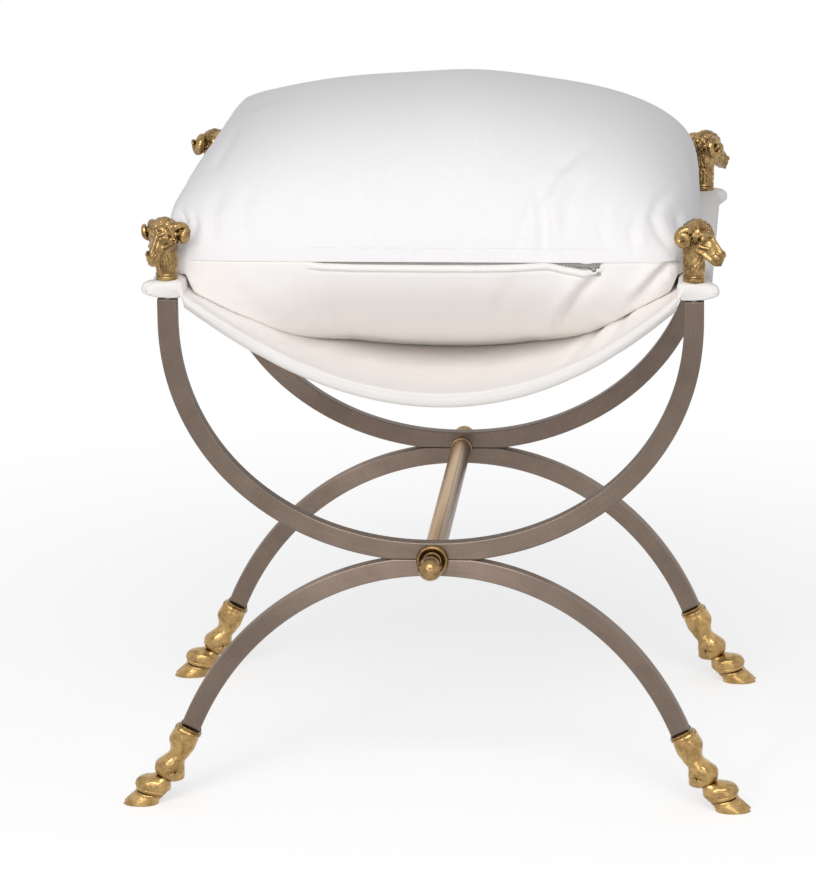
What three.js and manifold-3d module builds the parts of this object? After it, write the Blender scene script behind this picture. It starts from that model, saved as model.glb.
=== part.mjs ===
// X-frame stool: steel arcs set back to back, brass fittings, a canvas sling and a loose cushion.
// Millimetres, +X right, +Y back, +Z up; the origin is on the floor under the middle of the stool.
import * as THREE from 'three';
import { mergeVertices } from 'three/addons/utils/BufferGeometryUtils.js';
import Module from 'manifold-3d';

const wasm = await Module();
wasm.setup();

// Gaps and overruns that every piece shares
const seat_gap = 0.3;
const slide_fit = 0.25;
const cut_overrun = 2;

// Steel frame
const bar = { width: 16, depth: 11.5 };
const frame_spacing = 350.3;
const joint = { height: 212.5, flat: 2.1 };
const upper = { half_width: 211.5, drop: 192, roundness: 2.07, post: 17.6, steps: 44 };
const lower = { half_width: 220.1, sink: 32.8, roundness: 2.03, steps: 40 };

// Brass fittings of the joints
const rod = { radius: 4, engagement: 13 };
const tube = { radius: 8.75, wall: 1.75 };
const tube_collar = { radius: 10, thickness: 3, spigot: 6 };
const knob_ring = { radius: 13, thickness: 4.6, rim: 1.5, recess_radius: 9.4, recess: 1.8 };
const knob = { ball_radius: 9.8, reach: 28, neck_radius: 5.6, foot_radius: 8, foot: 2 };

// Hooves
const hoof = { height: 69, socket: 13, cleft: 1.4, slant_share: 0.3876 };
const hoof_screw = { radius: 2, depth: 1.9, drop: 7 };

// Seat: rails in the sleeves of the sling
const canvas = 2.2;
const rail = { width: 22, thickness: 10.4, overhang: 4.85, corner: 2 };
const stud = { radius: 3, engagement: 13 };
const sling = {
  overhang: 8.85, sag: 83.3, lean: 8, hem: 7, belly: 4,
  corner_lift: 11, corner_lift_inset: 19, corner_lift_width: 22,
};

// Ram's heads, facing outwards; the angles are turned from +X
const head = { height: 51.5, neck_radius: 9.2 };
const head_facing = {
  front_left: THREE.MathUtils.degToRad(-112),
  front_right: THREE.MathUtils.degToRad(-27),
  back_right: THREE.MathUtils.degToRad(15),
  back_left: THREE.MathUtils.degToRad(108),
};

// Cushion, its cover and its zip
const cushion = {
  front_setback: 7.15, back_setback: 11.15, seam_rise: 26.7, crown_rise: 143.2, belly_sink: 90.8,
  insert_setback: 14, side_bulge: 9, side_climb: 9, ramp_slope: 1.6, ramp_lead: 13, clearance: 1,
};
const cushion_corners = {
  front_left: { side: -1, setback: 6.5, rise: 29, tuck: 8 },
  front_right: { side: 1, setback: 7.5, rise: -5, tuck: 8 },
  back_left: { side: -1, setback: 23.5, rise: 69, tuck: 3 },
  back_right: { side: 1, setback: 10.5, rise: 31, tuck: 6 },
};
const crown_shares = { across: [2.3, 0.52], along: [2.3, 0.52] };
const belly_shares = { across: [2.4, 0.5], along: [1.3, 0.45] };
const cover = { wall: 2, seam: 3, ease: 1.3, margin: 4, steps: 14 };
const zip = {
  left: -98, right: 137, opening: 9, drop: 2.5, welt: 3, tape: 1, tape_margin: 3.8, coil: 2.2, end_room: 1.5,
};
const slider = { width: 10, height: 6.6, thickness: 2.6, bridge: 1.4, pin: 0.7 };
const pull = { reach: 22, height: 4, thickness: 1, pin_share: 0.9 };
const segments = { round: 20, small: 12, hoof: 14, horn: 6 };

// Places that follow from the sizes
const frame_y = frame_spacing / 2;
const bar_face_y = frame_y + bar.depth / 2;
const bar_inner_y = frame_y - bar.depth / 2;
const upper_centre_z = joint.height - joint.flat + bar.width / 2 + upper.drop;
const lower_centre_z = -lower.sink;
const lower_rise = joint.height + joint.flat - bar.width / 2 + lower.sink;
const post_x = upper.half_width;
const post_top = upper_centre_z + upper.post;
const rail_base = post_top + seat_gap + canvas + seat_gap;
const rail_top = rail_base + rail.thickness;
const rail_half = frame_y + rail.overhang;
const sling_half = frame_y + sling.overhang;
const head_base = rail_top + seat_gap + canvas + seat_gap;
const cushion_front = frame_y - cushion.front_setback;
const cushion_back = frame_y - cushion.back_setback;
const seam_z = rail_base + cushion.seam_rise;
const crown_z = rail_base + cushion.crown_rise;
const belly_z = rail_base - cushion.belly_sink;

// Colours of the materials
const steel = { color: 0x8f8379, metalness: 1, roughness: 0.42 };
const brass = { color: 0xb98d44, metalness: 1, roughness: 0.3 };
const satin_brass = { color: 0xb8966a, metalness: 1, roughness: 0.4 };
const zinc = { color: 0x9a9fa0, metalness: 1, roughness: 0.45 };
const cream_canvas = { color: 0xf1ece4, metalness: 0, roughness: 0.9 };
const white_cotton = { color: 0xf5f3f2, metalness: 0, roughness: 0.95 };
const nylon = { color: 0xd9d6d0, metalness: 0, roughness: 0.6 };

// A closed geometry: shared corners merged, faces without area dropped, faces pointing out.
function closed(geometry) {
  const bare = geometry.clone();
  for (const name of ['normal', 'uv']) bare.deleteAttribute(name);
  const merged = mergeVertices(bare, seat_gap / 300);
  const place = merged.attributes.position;
  const faces = [];
  let volume = 0;
  const [a, b, c] = [new THREE.Vector3(), new THREE.Vector3(), new THREE.Vector3()];
  for (let i = 0; i < merged.index.count; i += 3) {
    const face = [0, 1, 2].map((k) => merged.index.getX(i + k));
    if (new Set(face).size < 3) continue;
    a.fromBufferAttribute(place, face[0]);
    b.fromBufferAttribute(place, face[1]);
    c.fromBufferAttribute(place, face[2]);
    volume += a.dot(b.cross(c));
    faces.push(face);
  }
  const facing = volume < 0 ? faces.map((face) => face.reverse()) : faces;
  merged.setIndex(facing.flat());
  return merged;
}

function solidOf(geometry) {
  const whole = closed(geometry);
  const mesh = new wasm.Mesh({
    numProp: 3,
    vertProperties: new Float32Array(whole.attributes.position.array),
    triVerts: new Uint32Array(whole.index.array),
  });
  return new wasm.Manifold(mesh);
}

function geometryOf(solid) {
  const mesh = solid.getMesh();
  const geometry = new THREE.BufferGeometry();
  geometry.setAttribute('position', new THREE.BufferAttribute(new Float32Array(mesh.vertProperties), 3));
  geometry.setIndex([...mesh.triVerts]);
  geometry.computeVertexNormals();
  return geometry;
}

function cut(geometry, ...tools) {
  return geometryOf(tools.reduce((left, tool) => left.subtract(solidOf(tool)), solidOf(geometry)));
}

function join(...geometries) {
  return geometryOf(geometries.map(solidOf).reduce((sum, next) => sum.add(next)));
}

// A skin over rings of equally many points, closed at both ends by a fan.
function loft(rings) {
  const size = rings[0].length;
  const points = rings.flat();
  const faces = [];
  for (let r = 0; r + 1 < rings.length; r++) {
    for (let k = 0; k < size; k++) {
      const next = (k + 1) % size;
      const [p, q] = [r * size + k, r * size + next];
      faces.push([p, q, q + size], [p, q + size, p + size]);
    }
  }
  for (const [start, flip] of [[0, true], [(rings.length - 1) * size, false]]) {
    const middle = new THREE.Vector3();
    for (let k = 0; k < size; k++) middle.addScaledVector(points[start + k], 1 / size);
    points.push(middle);
    for (let k = 0; k < size; k++) {
      const edge = [start + k, start + ((k + 1) % size)];
      faces.push(flip ? [edge[1], edge[0], points.length - 1] : [...edge, points.length - 1]);
    }
  }
  const geometry = new THREE.BufferGeometry().setFromPoints(points);
  geometry.setIndex(faces.flat());
  return closed(geometry);
}

// A flat outline in X and Z, extruded along Y about y = 0.
function plate(shape, depth) {
  const geometry = new THREE.ExtrudeGeometry(shape, { depth, bevelEnabled: false, curveSegments: 2 });
  return geometry.translate(0, 0, -depth / 2).rotateX(Math.PI / 2);
}

// A turned piece whose axis is Z; the profile is a list of [radius, height].
function turned(profile, sides) {
  const points = profile.map(([radius, height]) => new THREE.Vector2(radius, height));
  return closed(new THREE.LatheGeometry(points, sides)).rotateX(Math.PI / 2);
}

// A round bar or hole along Z from z = 0 up to its length.
function roundBar(radius, length, sides = segments.small) {
  return new THREE.CylinderGeometry(radius, radius, length, sides)
    .rotateX(Math.PI / 2)
    .translate(0, 0, length / 2);
}

// The same, along Y about y = 0.
function crossBar(radius, length, sides = segments.small) {
  return new THREE.CylinderGeometry(radius, radius, length, sides);
}

function box(width, depth, height) {
  return new THREE.BoxGeometry(width, depth, height);
}

function roundedRectangle(kind, width, height, corner) {
  const [w, h] = [width / 2, height / 2];
  const shape = new kind();
  shape.moveTo(-w + corner, -h);
  shape.lineTo(w - corner, -h);
  shape.absarc(w - corner, -h + corner, corner, -Math.PI / 2, 0);
  shape.lineTo(w, h - corner);
  shape.absarc(w - corner, h - corner, corner, 0, Math.PI / 2);
  shape.lineTo(-w + corner, h);
  shape.absarc(-w + corner, h - corner, corner, Math.PI / 2, Math.PI);
  shape.lineTo(-w, -h + corner);
  shape.absarc(-w + corner, -h + corner, corner, Math.PI, Math.PI * 1.5);
  return shape;
}

const stool = new THREE.Group();

function add(name, geometry, look, place = [0, 0, 0], turn_z = 0) {
  const mesh = new THREE.Mesh(geometry, new THREE.MeshStandardMaterial(look));
  mesh.name = name;
  mesh.position.set(...place);
  mesh.rotation.z = turn_z;
  stool.add(mesh);
  return mesh;
}

// Steel arcs. A point of the centre line and its outward normal, at an angle of the superellipse.
function arcPoint(arc, height, angle) {
  const share = (value) => Math.sign(value) * Math.abs(value) ** (2 / arc.roundness);
  const [x, z] = [share(Math.cos(angle)), share(Math.sin(angle))];
  const slope = (value) => Math.sign(value) * Math.abs(value) ** (arc.roundness - 1);
  const normal = new THREE.Vector2(slope(x) / arc.half_width, slope(z) / height).normalize();
  return { centre: new THREE.Vector2(x * arc.half_width, z * height), normal };
}

function upperArc() {
  const [outside, inside] = [[], []];
  const floor_z = joint.height + seat_gap / 2;
  for (let i = 0; i <= upper.steps; i++) {
    const { centre, normal } = arcPoint(upper, upper.drop, Math.PI * (1 + i / upper.steps));
    for (const [side, list] of [[1, outside], [-1, inside]]) {
      const x = centre.x + normal.x * side * bar.width / 2;
      const z = centre.y + normal.y * side * bar.width / 2 + upper_centre_z;
      list.push(new THREE.Vector2(x, Math.max(z, floor_z)));
    }
  }
  for (const list of [outside, inside]) {
    list.unshift(new THREE.Vector2(list[0].x, post_top));
    list.push(new THREE.Vector2(list[list.length - 1].x, post_top));
  }
  const arc = plate(new THREE.Shape([...outside, ...inside.reverse()]), bar.depth);
  const bores = [-post_x, post_x].map((x) => roundBar(stud.radius + slide_fit, stud.engagement + cut_overrun)
    .translate(x, 0, post_top - stud.engagement));
  return cut(arc, crossBar(rod.radius + slide_fit, bar.depth + cut_overrun).translate(0, 0, joint.height), ...bores);
}

// The angle of the lower arc's centre line at a height above the floor.
function legAngle(height) {
  const share = (height - lower_centre_z) / lower_rise;
  return Math.asin(share ** (lower.roundness / 2));
}

function legPoint(height) {
  const { centre, normal } = arcPoint(lower, lower_rise, legAngle(height));
  return { x: centre.x, z: centre.y + lower_centre_z, normal };
}

const leg_mouth = legPoint(hoof.height);
const socket_middle = legPoint(hoof.height - hoof.socket / 2);
const leg_lean = Math.atan2(socket_middle.normal.y, socket_middle.normal.x);
const leg_end_angle = legAngle(hoof.height - hoof.socket * Math.cos(leg_lean));

function lowerArc() {
  const [outside, inside] = [[], []];
  const ceiling_z = joint.height - seat_gap / 2;
  for (let i = 0; i <= lower.steps; i++) {
    const angle = leg_end_angle + (Math.PI - 2 * leg_end_angle) * i / lower.steps;
    const { centre, normal } = arcPoint(lower, lower_rise, angle);
    for (const [side, list] of [[1, outside], [-1, inside]]) {
      const x = centre.x + normal.x * side * bar.width / 2;
      const z = centre.y + normal.y * side * bar.width / 2 + lower_centre_z;
      list.push(new THREE.Vector2(x, Math.min(z, ceiling_z)));
    }
  }
  const arc = plate(new THREE.Shape([...outside, ...inside.reverse()]), bar.depth);
  return cut(arc, crossBar(rod.radius + slide_fit, bar.depth + cut_overrun).translate(0, 0, joint.height));
}

// Joint fittings: rod, tube and collars between the frames, ring and ball knob outside them
const ring_face_y = bar_face_y + seat_gap;
const knob_foot_y = ring_face_y + knob_ring.thickness - knob_ring.recess + seat_gap;
const rod_half = knob_foot_y + rod.engagement - seat_gap;
const tube_bore = tube.radius - tube.wall;
const tube_half = bar_inner_y - seat_gap - tube_collar.thickness - seat_gap;

function ringProfile() {
  const { radius, thickness, rim, recess_radius, recess } = knob_ring;
  const bore = rod.radius + slide_fit;
  const points = [[bore, 0], [radius - rim / 2, 0], [radius, rim / 2], [radius, thickness - rim]];
  points.push([radius - rim * 0.3, thickness - rim * 0.3], [radius - rim, thickness]);
  points.push([recess_radius, thickness], [recess_radius, thickness - recess]);
  points.push([bore, thickness - recess], [bore, 0]);
  return points;
}

function knobProfile() {
  const centre = bar_face_y + knob.reach - knob_foot_y;
  const bore = rod.radius + slide_fit;
  const points = [[0, rod.engagement], [bore, rod.engagement], [bore, 0], [knob.foot_radius, 0]];
  points.push([knob.foot_radius, knob.foot / 2], [knob.neck_radius, knob.foot + knob.foot / 2]);
  const arc_steps = 10;
  const first = Math.asin(knob.neck_radius * 1.02 / knob.ball_radius);
  for (let i = 0; i <= arc_steps; i++) {
    const angle = first + (Math.PI - first) * i / arc_steps;
    const radius = i === arc_steps ? 0 : knob.ball_radius * Math.sin(angle);
    points.push([radius, centre - knob.ball_radius * Math.cos(angle)]);
  }
  return points;
}

function collarProfile() {
  const bore = rod.radius + slide_fit;
  const spigot_radius = tube_bore - slide_fit;
  const shoulder = tube_collar.thickness;
  const tip = shoulder + tube_collar.spigot;
  const points = [[bore, 0], [tube_collar.radius, 0], [tube_collar.radius, shoulder]];
  points.push([spigot_radius, shoulder], [spigot_radius, tip], [bore, tip], [bore, 0]);
  return points;
}

function addJointFittings() {
  const tube_profile = [[tube_bore, -tube_half], [tube.radius, -tube_half], [tube.radius, tube_half]];
  tube_profile.push([tube_bore, tube_half], [tube_bore, -tube_half]);
  const stretcher = turned(tube_profile, segments.round).rotateX(Math.PI / 2);
  add('stretcher_tube', stretcher, satin_brass, [0, 0, joint.height]);
  add('tie_rod', crossBar(rod.radius, 2 * rod_half), zinc, [0, 0, joint.height]);
  for (const [end, side] of [['front', -1], ['back', 1]]) {
    const outward = (profile) => turned(profile, segments.round).rotateX(-side * Math.PI / 2);
    const inward = (profile) => turned(profile, segments.round).rotateX(side * Math.PI / 2);
    add('knob_ring_' + end, outward(ringProfile()), brass, [0, side * ring_face_y, joint.height]);
    add('ball_knob_' + end, outward(knobProfile()), brass, [0, side * knob_foot_y, joint.height]);
    const collar_y = side * (bar_inner_y - seat_gap);
    add('tube_collar_' + end, inward(collarProfile()), satin_brass, [0, collar_y, joint.height]);
  }
}

// A hoof, for the right-hand leg, from its mouth at the leg down to its flat sole. Each row gives the
// toe-side and heel-side points of a section, as shares of the height of the hoof, measured outwards
// from the leg and up from the floor, with the half depth of the section.
const hoof_section_shares = [
  { toe: [0.122, 1.02], heel: [-0.1, 0.905], half_depth: 0.135 },
  { toe: [0.155, 1.0], heel: [-0.095, 0.875], half_depth: 0.148 },
  { toe: [0.2, 0.94], heel: [-0.075, 0.845], half_depth: 0.156 },
  { toe: [0.258, 0.84], heel: [-0.055, 0.78], half_depth: 0.165 },
  { toe: [0.262, 0.72], heel: [-0.015, 0.69], half_depth: 0.15 },
  { toe: [0.29, 0.64], heel: [0.04, 0.61], half_depth: 0.135 },
  { toe: [0.42, 0.53], heel: [0.1, 0.53], half_depth: 0.155 },
  { toe: [0.448, 0.45], heel: [0.112, 0.4], half_depth: 0.162 },
  { toe: [0.432, 0.385], heel: [0.12, 0.32], half_depth: 0.15 },
  { toe: [0.395, 0.36], heel: [0.19, 0.285], half_depth: 0.115 },
  { toe: [0.44, 0.372], heel: [0.26, 0.28], half_depth: 0.115 },
  { toe: [0.62, 0.345], heel: [0.275, 0.235], half_depth: 0.16 },
  { toe: [0.682, 0.27], heel: [0.283, 0.17], half_depth: 0.172 },
  { toe: [0.668, 0.2], heel: [0.335, 0.13], half_depth: 0.165 },
  { toe: [0.655, 0.185], heel: [0.36, 0.11], half_depth: 0.155 },
  { toe: [0.735, 0.1], heel: [0.4, 0.055], half_depth: 0.172 },
  { toe: [0.818, 0.016], heel: [0.428, 0.014], half_depth: 0.18 },
  { toe: [0.812, 0], heel: [0.424, 0], half_depth: 0.178 },
];
const hoof_rows_with_cleft = 5;

function hoofGeometry() {
  const slant = Math.tan(leg_lean) - hoof.slant_share;
  const rings = hoof_section_shares.map(({ toe, heel, half_depth }, row) => {
    const outer = new THREE.Vector3(toe[0] + slant * (1 - toe[1]), 0, toe[1]);
    const inner = new THREE.Vector3(heel[0] + slant * (1 - heel[1]), 0, heel[1]);
    const middle = outer.clone().add(inner).multiplyScalar(hoof.height / 2);
    const half = outer.clone().sub(inner).multiplyScalar(hoof.height / 2);
    const cleft_row = row - (hoof_section_shares.length - hoof_rows_with_cleft);
    const cleft = Math.max(0, Math.min(1, cleft_row / 2)) * hoof.cleft;
    return Array.from({ length: segments.hoof }, (_, k) => {
      const angle = 2 * Math.PI * k / segments.hoof;
      const rounded = (value) => Math.sign(value) * Math.abs(value) ** 0.85;
      const point = middle.clone().addScaledVector(half, rounded(Math.cos(angle)));
      point.y = half_depth * hoof.height * rounded(Math.sin(angle));
      if (k === 0) point.addScaledVector(half, -cleft / half.length());
      return point;
    });
  });
  return loft(rings);
}

// The socket for the leg and the screw hole in its heel side, in the frame of the right-hand hoof.
function socketTool() {
  const fit = slide_fit;
  const tool = box(bar.width + 2 * fit, bar.depth + 2 * fit, hoof.socket + 4 * fit + hoof.height / 2);
  return tool.translate(0, 0, hoof.height / 4)
    .rotateY(-leg_lean)
    .translate(socket_middle.x - leg_mouth.x, 0, socket_middle.z);
}

// Screw axis: from the bar's inner face outwards through the heel side of the socket.
function screwBar(radius, length) {
  const bar_side = bar.width / 2 + slide_fit;
  return roundBar(radius, length)
    .rotateY(-Math.PI / 2)
    .translate(-bar_side, 0, -hoof_screw.drop)
    .rotateY(-leg_lean)
    .translate(0, 0, hoof.height);
}

function addHooves() {
  const hole = screwBar(hoof_screw.radius + slide_fit, hoof.height / 2);
  const geometry = cut(hoofGeometry(), socketTool(), hole);
  const screw = screwBar(hoof_screw.radius, hoof_screw.depth);
  for (const [end, end_side] of [['front', -1], ['back', 1]]) {
    for (const [hand, hand_side] of [['left', -1], ['right', 1]]) {
      const place = [hand_side * leg_mouth.x, end_side * frame_y, 0];
      const turn_z = hand_side > 0 ? 0 : Math.PI;
      add('hoof_' + end + '_' + hand, geometry, brass, place, turn_z);
      add('hoof_screw_' + end + '_' + hand, screw, zinc, place, turn_z);
    }
  }
}

// Post studs: from the post through the rail into the head
const stud_length = head_base - post_top + 2 * (stud.engagement - seat_gap);

function addPostStuds() {
  for (const [end, end_side] of [['front', -1], ['back', 1]]) {
    for (const [hand, hand_side] of [['left', -1], ['right', 1]]) {
      const place = [hand_side * post_x, end_side * frame_y, post_top - stud.engagement + seat_gap];
      add('post_stud_' + end + '_' + hand, roundBar(stud.radius, stud_length), zinc, place);
    }
  }
}

// A ram's head that looks along +X, standing on z = 0. Centres and radii are shares of its height.
const ram_mass_shares = [
  { centre: [0.06, 0.0, 0.745], radii: [0.25, 0.245, 0.255], tilt: 0 },
  { centre: [0.1, 0.0, 0.56], radii: [0.2, 0.18, 0.19], tilt: 0.3 },
  { centre: [0.27, 0.0, 0.6], radii: [0.25, 0.15, 0.14], tilt: 0.76 },
  { centre: [0.4, 0.0, 0.47], radii: [0.12, 0.115, 0.1], tilt: 0.76 },
];
const ram_neck_shares = [
  [0, 0], [1, 0], [1, 0.09], [0.93, 0.12], [0.96, 0.3], [0.88, 0.6], [0, 0.6],
];
const horn_shares = {
  centre: [0.06, 0.1, 0.75], coil: [0.16, 0.09], spread: 0.3, root: 0.09, tip: 0.03, steps: 10,
};
const horn_turn = THREE.MathUtils.degToRad(320);
const horn_start = THREE.MathUtils.degToRad(75);

// A tapering horn on the side of the head that side names, coiling back, down and forward.
function hornGeometry(side) {
  const { centre, coil, spread, root, tip, steps } = horn_shares;
  const path = Array.from({ length: steps + 1 }, (_, i) => {
    const done = i / steps;
    const angle = horn_start + horn_turn * done;
    const radius = coil[0] + (coil[1] - coil[0]) * done;
    const x = centre[0] + radius * Math.cos(angle);
    const z = centre[2] + radius * Math.sin(angle);
    const y = side * (centre[1] + spread * done ** 1.5);
    return new THREE.Vector3(x, y, z).multiplyScalar(head.height);
  });
  const rings = path.map((point, i) => {
    const along = path[Math.min(i + 1, steps)].clone().sub(path[Math.max(i - 1, 0)]).normalize();
    const across = new THREE.Vector3(0, side, 0).addScaledVector(along, -side * along.y).normalize();
    const third = along.clone().cross(across);
    const radius = head.height * (root + (tip - root) * i / steps);
    return Array.from({ length: segments.horn }, (_, k) => {
      const angle = 2 * Math.PI * k / segments.horn;
      return point.clone()
        .addScaledVector(across, radius * Math.cos(angle))
        .addScaledVector(third, radius * Math.sin(angle));
    });
  });
  return loft(rings);
}

function ramHeadGeometry() {
  const neck = ram_neck_shares.map(([radius, height]) => [radius * head.neck_radius, height * head.height]);
  const masses = ram_mass_shares.map(({ centre, radii, tilt }) => new THREE.SphereGeometry(1, 10, 7)
    .scale(...radii.map((share) => share * head.height))
    .rotateY(tilt)
    .translate(...centre.map((share) => share * head.height)));
  const whole = join(turned(neck, segments.small), ...masses, hornGeometry(1), hornGeometry(-1));
  const bore = roundBar(stud.radius + slide_fit, stud.engagement + cut_overrun).translate(0, 0, -cut_overrun);
  return cut(whole, bore);
}

function addRamHeads() {
  const geometry = ramHeadGeometry();
  for (const [end, end_side] of [['front', -1], ['back', 1]]) {
    for (const [hand, hand_side] of [['left', -1], ['right', 1]]) {
      const name = end + '_' + hand;
      const place = [hand_side * post_x, end_side * frame_y, head_base];
      add('ram_head_' + name, geometry, brass, place, head_facing[name]);
    }
  }
}

// Side rails
function addSideRails() {
  const outline = roundedRectangle(THREE.Shape, rail.width, rail.thickness, rail.corner);
  const holes = [-frame_y, frame_y].map((y) => roundBar(stud.radius + slide_fit, rail.thickness + 2 * cut_overrun)
    .translate(0, y, -rail.thickness / 2 - cut_overrun));
  const geometry = cut(plate(outline, 2 * rail_half), ...holes);
  for (const [hand, side] of [['left', -1], ['right', 1]]) {
    add('side_rail_' + hand, geometry, steel, [side * post_x, 0, rail_base + rail.thickness / 2]);
  }
}

// Sling. Its sheet hangs between the sleeves in a parabola that leans a little to the right.
const sleeve_half = rail.width / 2 + seat_gap + canvas;
const sheet_half = post_x - sleeve_half + canvas / 2;
const sheet_top = rail_base + seat_gap;
const sleeve_top = rail_top + seat_gap + canvas;

// The height of the middle of the canvas over a point of the plan.
function sheetHeight(x, y) {
  const lean = sling.lean * (1 - (x / sheet_half) ** 2);
  const across = Math.min(1, Math.abs((x - lean) / sheet_half));
  const along = y / sling_half;
  const hang = sling.sag + sling.belly * (1 - along ** 2);
  const from_lift = (Math.abs(x) - sheet_half + sling.corner_lift_inset) / sling.corner_lift_width;
  const lift = sling.corner_lift * Math.exp(-from_lift * from_lift) * along ** 8;
  return sheet_top - hang * (1 - across ** 2) + lift;
}

// Stations from the middle to the hem: distance from the hem's outer edge, and how far the upper and
// lower faces lie over and under the middle of the canvas.
const hem_stations = [
  [sling.hem * 1.03, canvas / 2, -canvas / 2],
  [sling.hem * 0.86, canvas / 2, canvas / 2 - sling.hem * 0.9],
  [sling.hem / 2, canvas / 2, canvas / 2 - sling.hem],
  [sling.hem * 0.16, canvas / 2 - sling.hem * 0.06, canvas / 2 - sling.hem * 0.9],
  [0, canvas / 2 - sling.hem * 0.33, canvas / 2 - sling.hem * 0.67],
];

// The outline of the sling at y, seen from the front: sheet underside, right sleeve, sheet top, left sleeve.
function slingOutline(y, over, under) {
  const columns = 22;
  const reach = post_x - sleeve_half;
  const sheet = Array.from({ length: columns + 1 }, (_, i) => {
    const wave = Math.sin(Math.PI * 0.42 * (2 * i / columns - 1)) / Math.sin(Math.PI * 0.42);
    return new THREE.Vector2(wave * reach, sheetHeight(wave * reach, y));
  });
  const sleeve = roundedRectangle(
    THREE.Shape, rail.width + 2 * (seat_gap + canvas), rail.thickness + 2 * (seat_gap + canvas), rail.corner + canvas / 2,
  ).getPoints(2).slice(0, -1);
  const middle = new THREE.Vector2(post_x, rail_base + rail.thickness / 2);
  const right = sleeve.filter((point) => point.x > -rail.width / 2 || point.y > 0).map((point) => point.add(middle));
  const left = right.map((point) => new THREE.Vector2(-point.x, point.y)).reverse();
  const shifted = (lift) => sheet.map((point) => new THREE.Vector2(point.x, point.y + lift));
  return [...shifted(under), ...right, ...shifted(over).reverse(), ...left];
}

function slingGeometry() {
  const middle_stations = [0, 0.3, 0.58, 0.82].map((share) => [share * sling_half, canvas / 2, -canvas / 2]);
  const half = [...middle_stations, ...hem_stations.map(([inset, ...faces]) => [sling_half - inset, ...faces])];
  const stations = [...half.slice(1).reverse().map(([y, ...faces]) => [-y, ...faces]), ...half];
  const outlines = stations.map(([y, over, under]) => slingOutline(y, over, under));
  const size = outlines[0].length;
  const points = outlines.flatMap((outline, k) => outline.map(({ x, y }) => new THREE.Vector3(x, stations[k][0], y)));
  const faces = [];
  const wall = (first, second, count) => {
    for (let k = 0; k < count; k++) {
      const next = (k + 1) % count;
      faces.push([first + k, second + k, second + next], [first + k, second + next, first + next]);
    }
  };
  for (let r = 0; r + 1 < stations.length; r++) wall(r * size, (r + 1) * size, size);
  const cavity = roundedRectangle(
    THREE.Path, rail.width + 2 * seat_gap, rail.thickness + 2 * seat_gap, rail.corner,
  ).getPoints(2).slice(0, -1).reverse();
  const holes = [1, -1].map((side) => cavity
    .map(({ x, y }) => new THREE.Vector2(x + side * post_x, y + rail_base + rail.thickness / 2)));
  const hole_starts = [0, stations.length - 1].map((r) => holes.map((hole) => {
    const start = points.length;
    for (const { x, y } of hole) points.push(new THREE.Vector3(x, stations[r][0], y));
    return start;
  }));
  holes.forEach((hole, k) => wall(hole_starts[0][k], hole_starts[1][k], hole.length));
  [0, stations.length - 1].forEach((r, end) => {
    const place = [...outlines[r].keys()].map((k) => r * size + k);
    holes.forEach((hole, k) => place.push(...hole.keys().map((n) => hole_starts[end][k] + n)));
    for (const face of THREE.ShapeUtils.triangulateShape(outlines[r], holes)) {
      const corners = face.map((k) => place[k]);
      faces.push(end ? corners.reverse() : corners);
    }
  });
  const geometry = new THREE.BufferGeometry().setFromPoints(points);
  geometry.setIndex(faces.flat());
  const bores = [-1, 1].flatMap((hand) => [-frame_y, frame_y].map((y) => (
    roundBar(stud.radius + slide_fit, rail.thickness * 3).translate(hand * post_x, y, rail_base - rail.thickness)
  )));
  return cut(geometry, ...bores);
}

// Cushion. u and v run over the plan from -1 to 1.
const lerp = THREE.MathUtils.lerp;
const [front_left, front_right, back_left, back_right] = ['front_left', 'front_right', 'back_left', 'back_right']
  .map((name) => cushion_corners[name])
  .map((corner) => ({ ...corner, x: corner.side * (post_x - corner.setback) }));

function seamPoint(u, v) {
  const [right, back] = [(1 + u) / 2, (1 + v) / 2];
  const over = (key) => lerp(
    lerp(front_left[key], front_right[key], right), lerp(back_left[key], back_right[key], right), back,
  );
  const tuck = over('tuck') * (u * v) ** 8;
  const bulge = right * (1 - v * v);
  const x = over('x') + cushion.side_bulge * bulge - Math.sign(u) * tuck;
  const y = lerp(-cushion_front, cushion_back, back) - Math.sign(v) * tuck;
  const front_rise = lerp(front_left.rise, front_right.rise, right);
  const front_dip = front_rise * (u ** 10 - 1) * (1 - back);
  return new THREE.Vector3(x, y, seam_z + over('rise') + front_dip + cushion.side_climb * bulge);
}

// How far a skin has come from its seam to its crown or belly.
function plump(u, v, { across, along }) {
  const round = (value, [square, edge]) => Math.max(0, 1 - Math.abs(value) ** square) ** edge;
  return round(u, across) * round(v, along);
}

// The lowest place for the cushion over a point of the plan: on the canvas, rising over the sleeves.
function seatHeight(x, y) {
  const from_sleeve = Math.max(0, sheet_half - cushion.ramp_lead - Math.abs(x));
  const ramp = sleeve_top - cushion.ramp_slope * from_sleeve;
  return Math.max(ramp, sheetHeight(x, y) + canvas / 2) + cushion.clearance;
}

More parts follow.
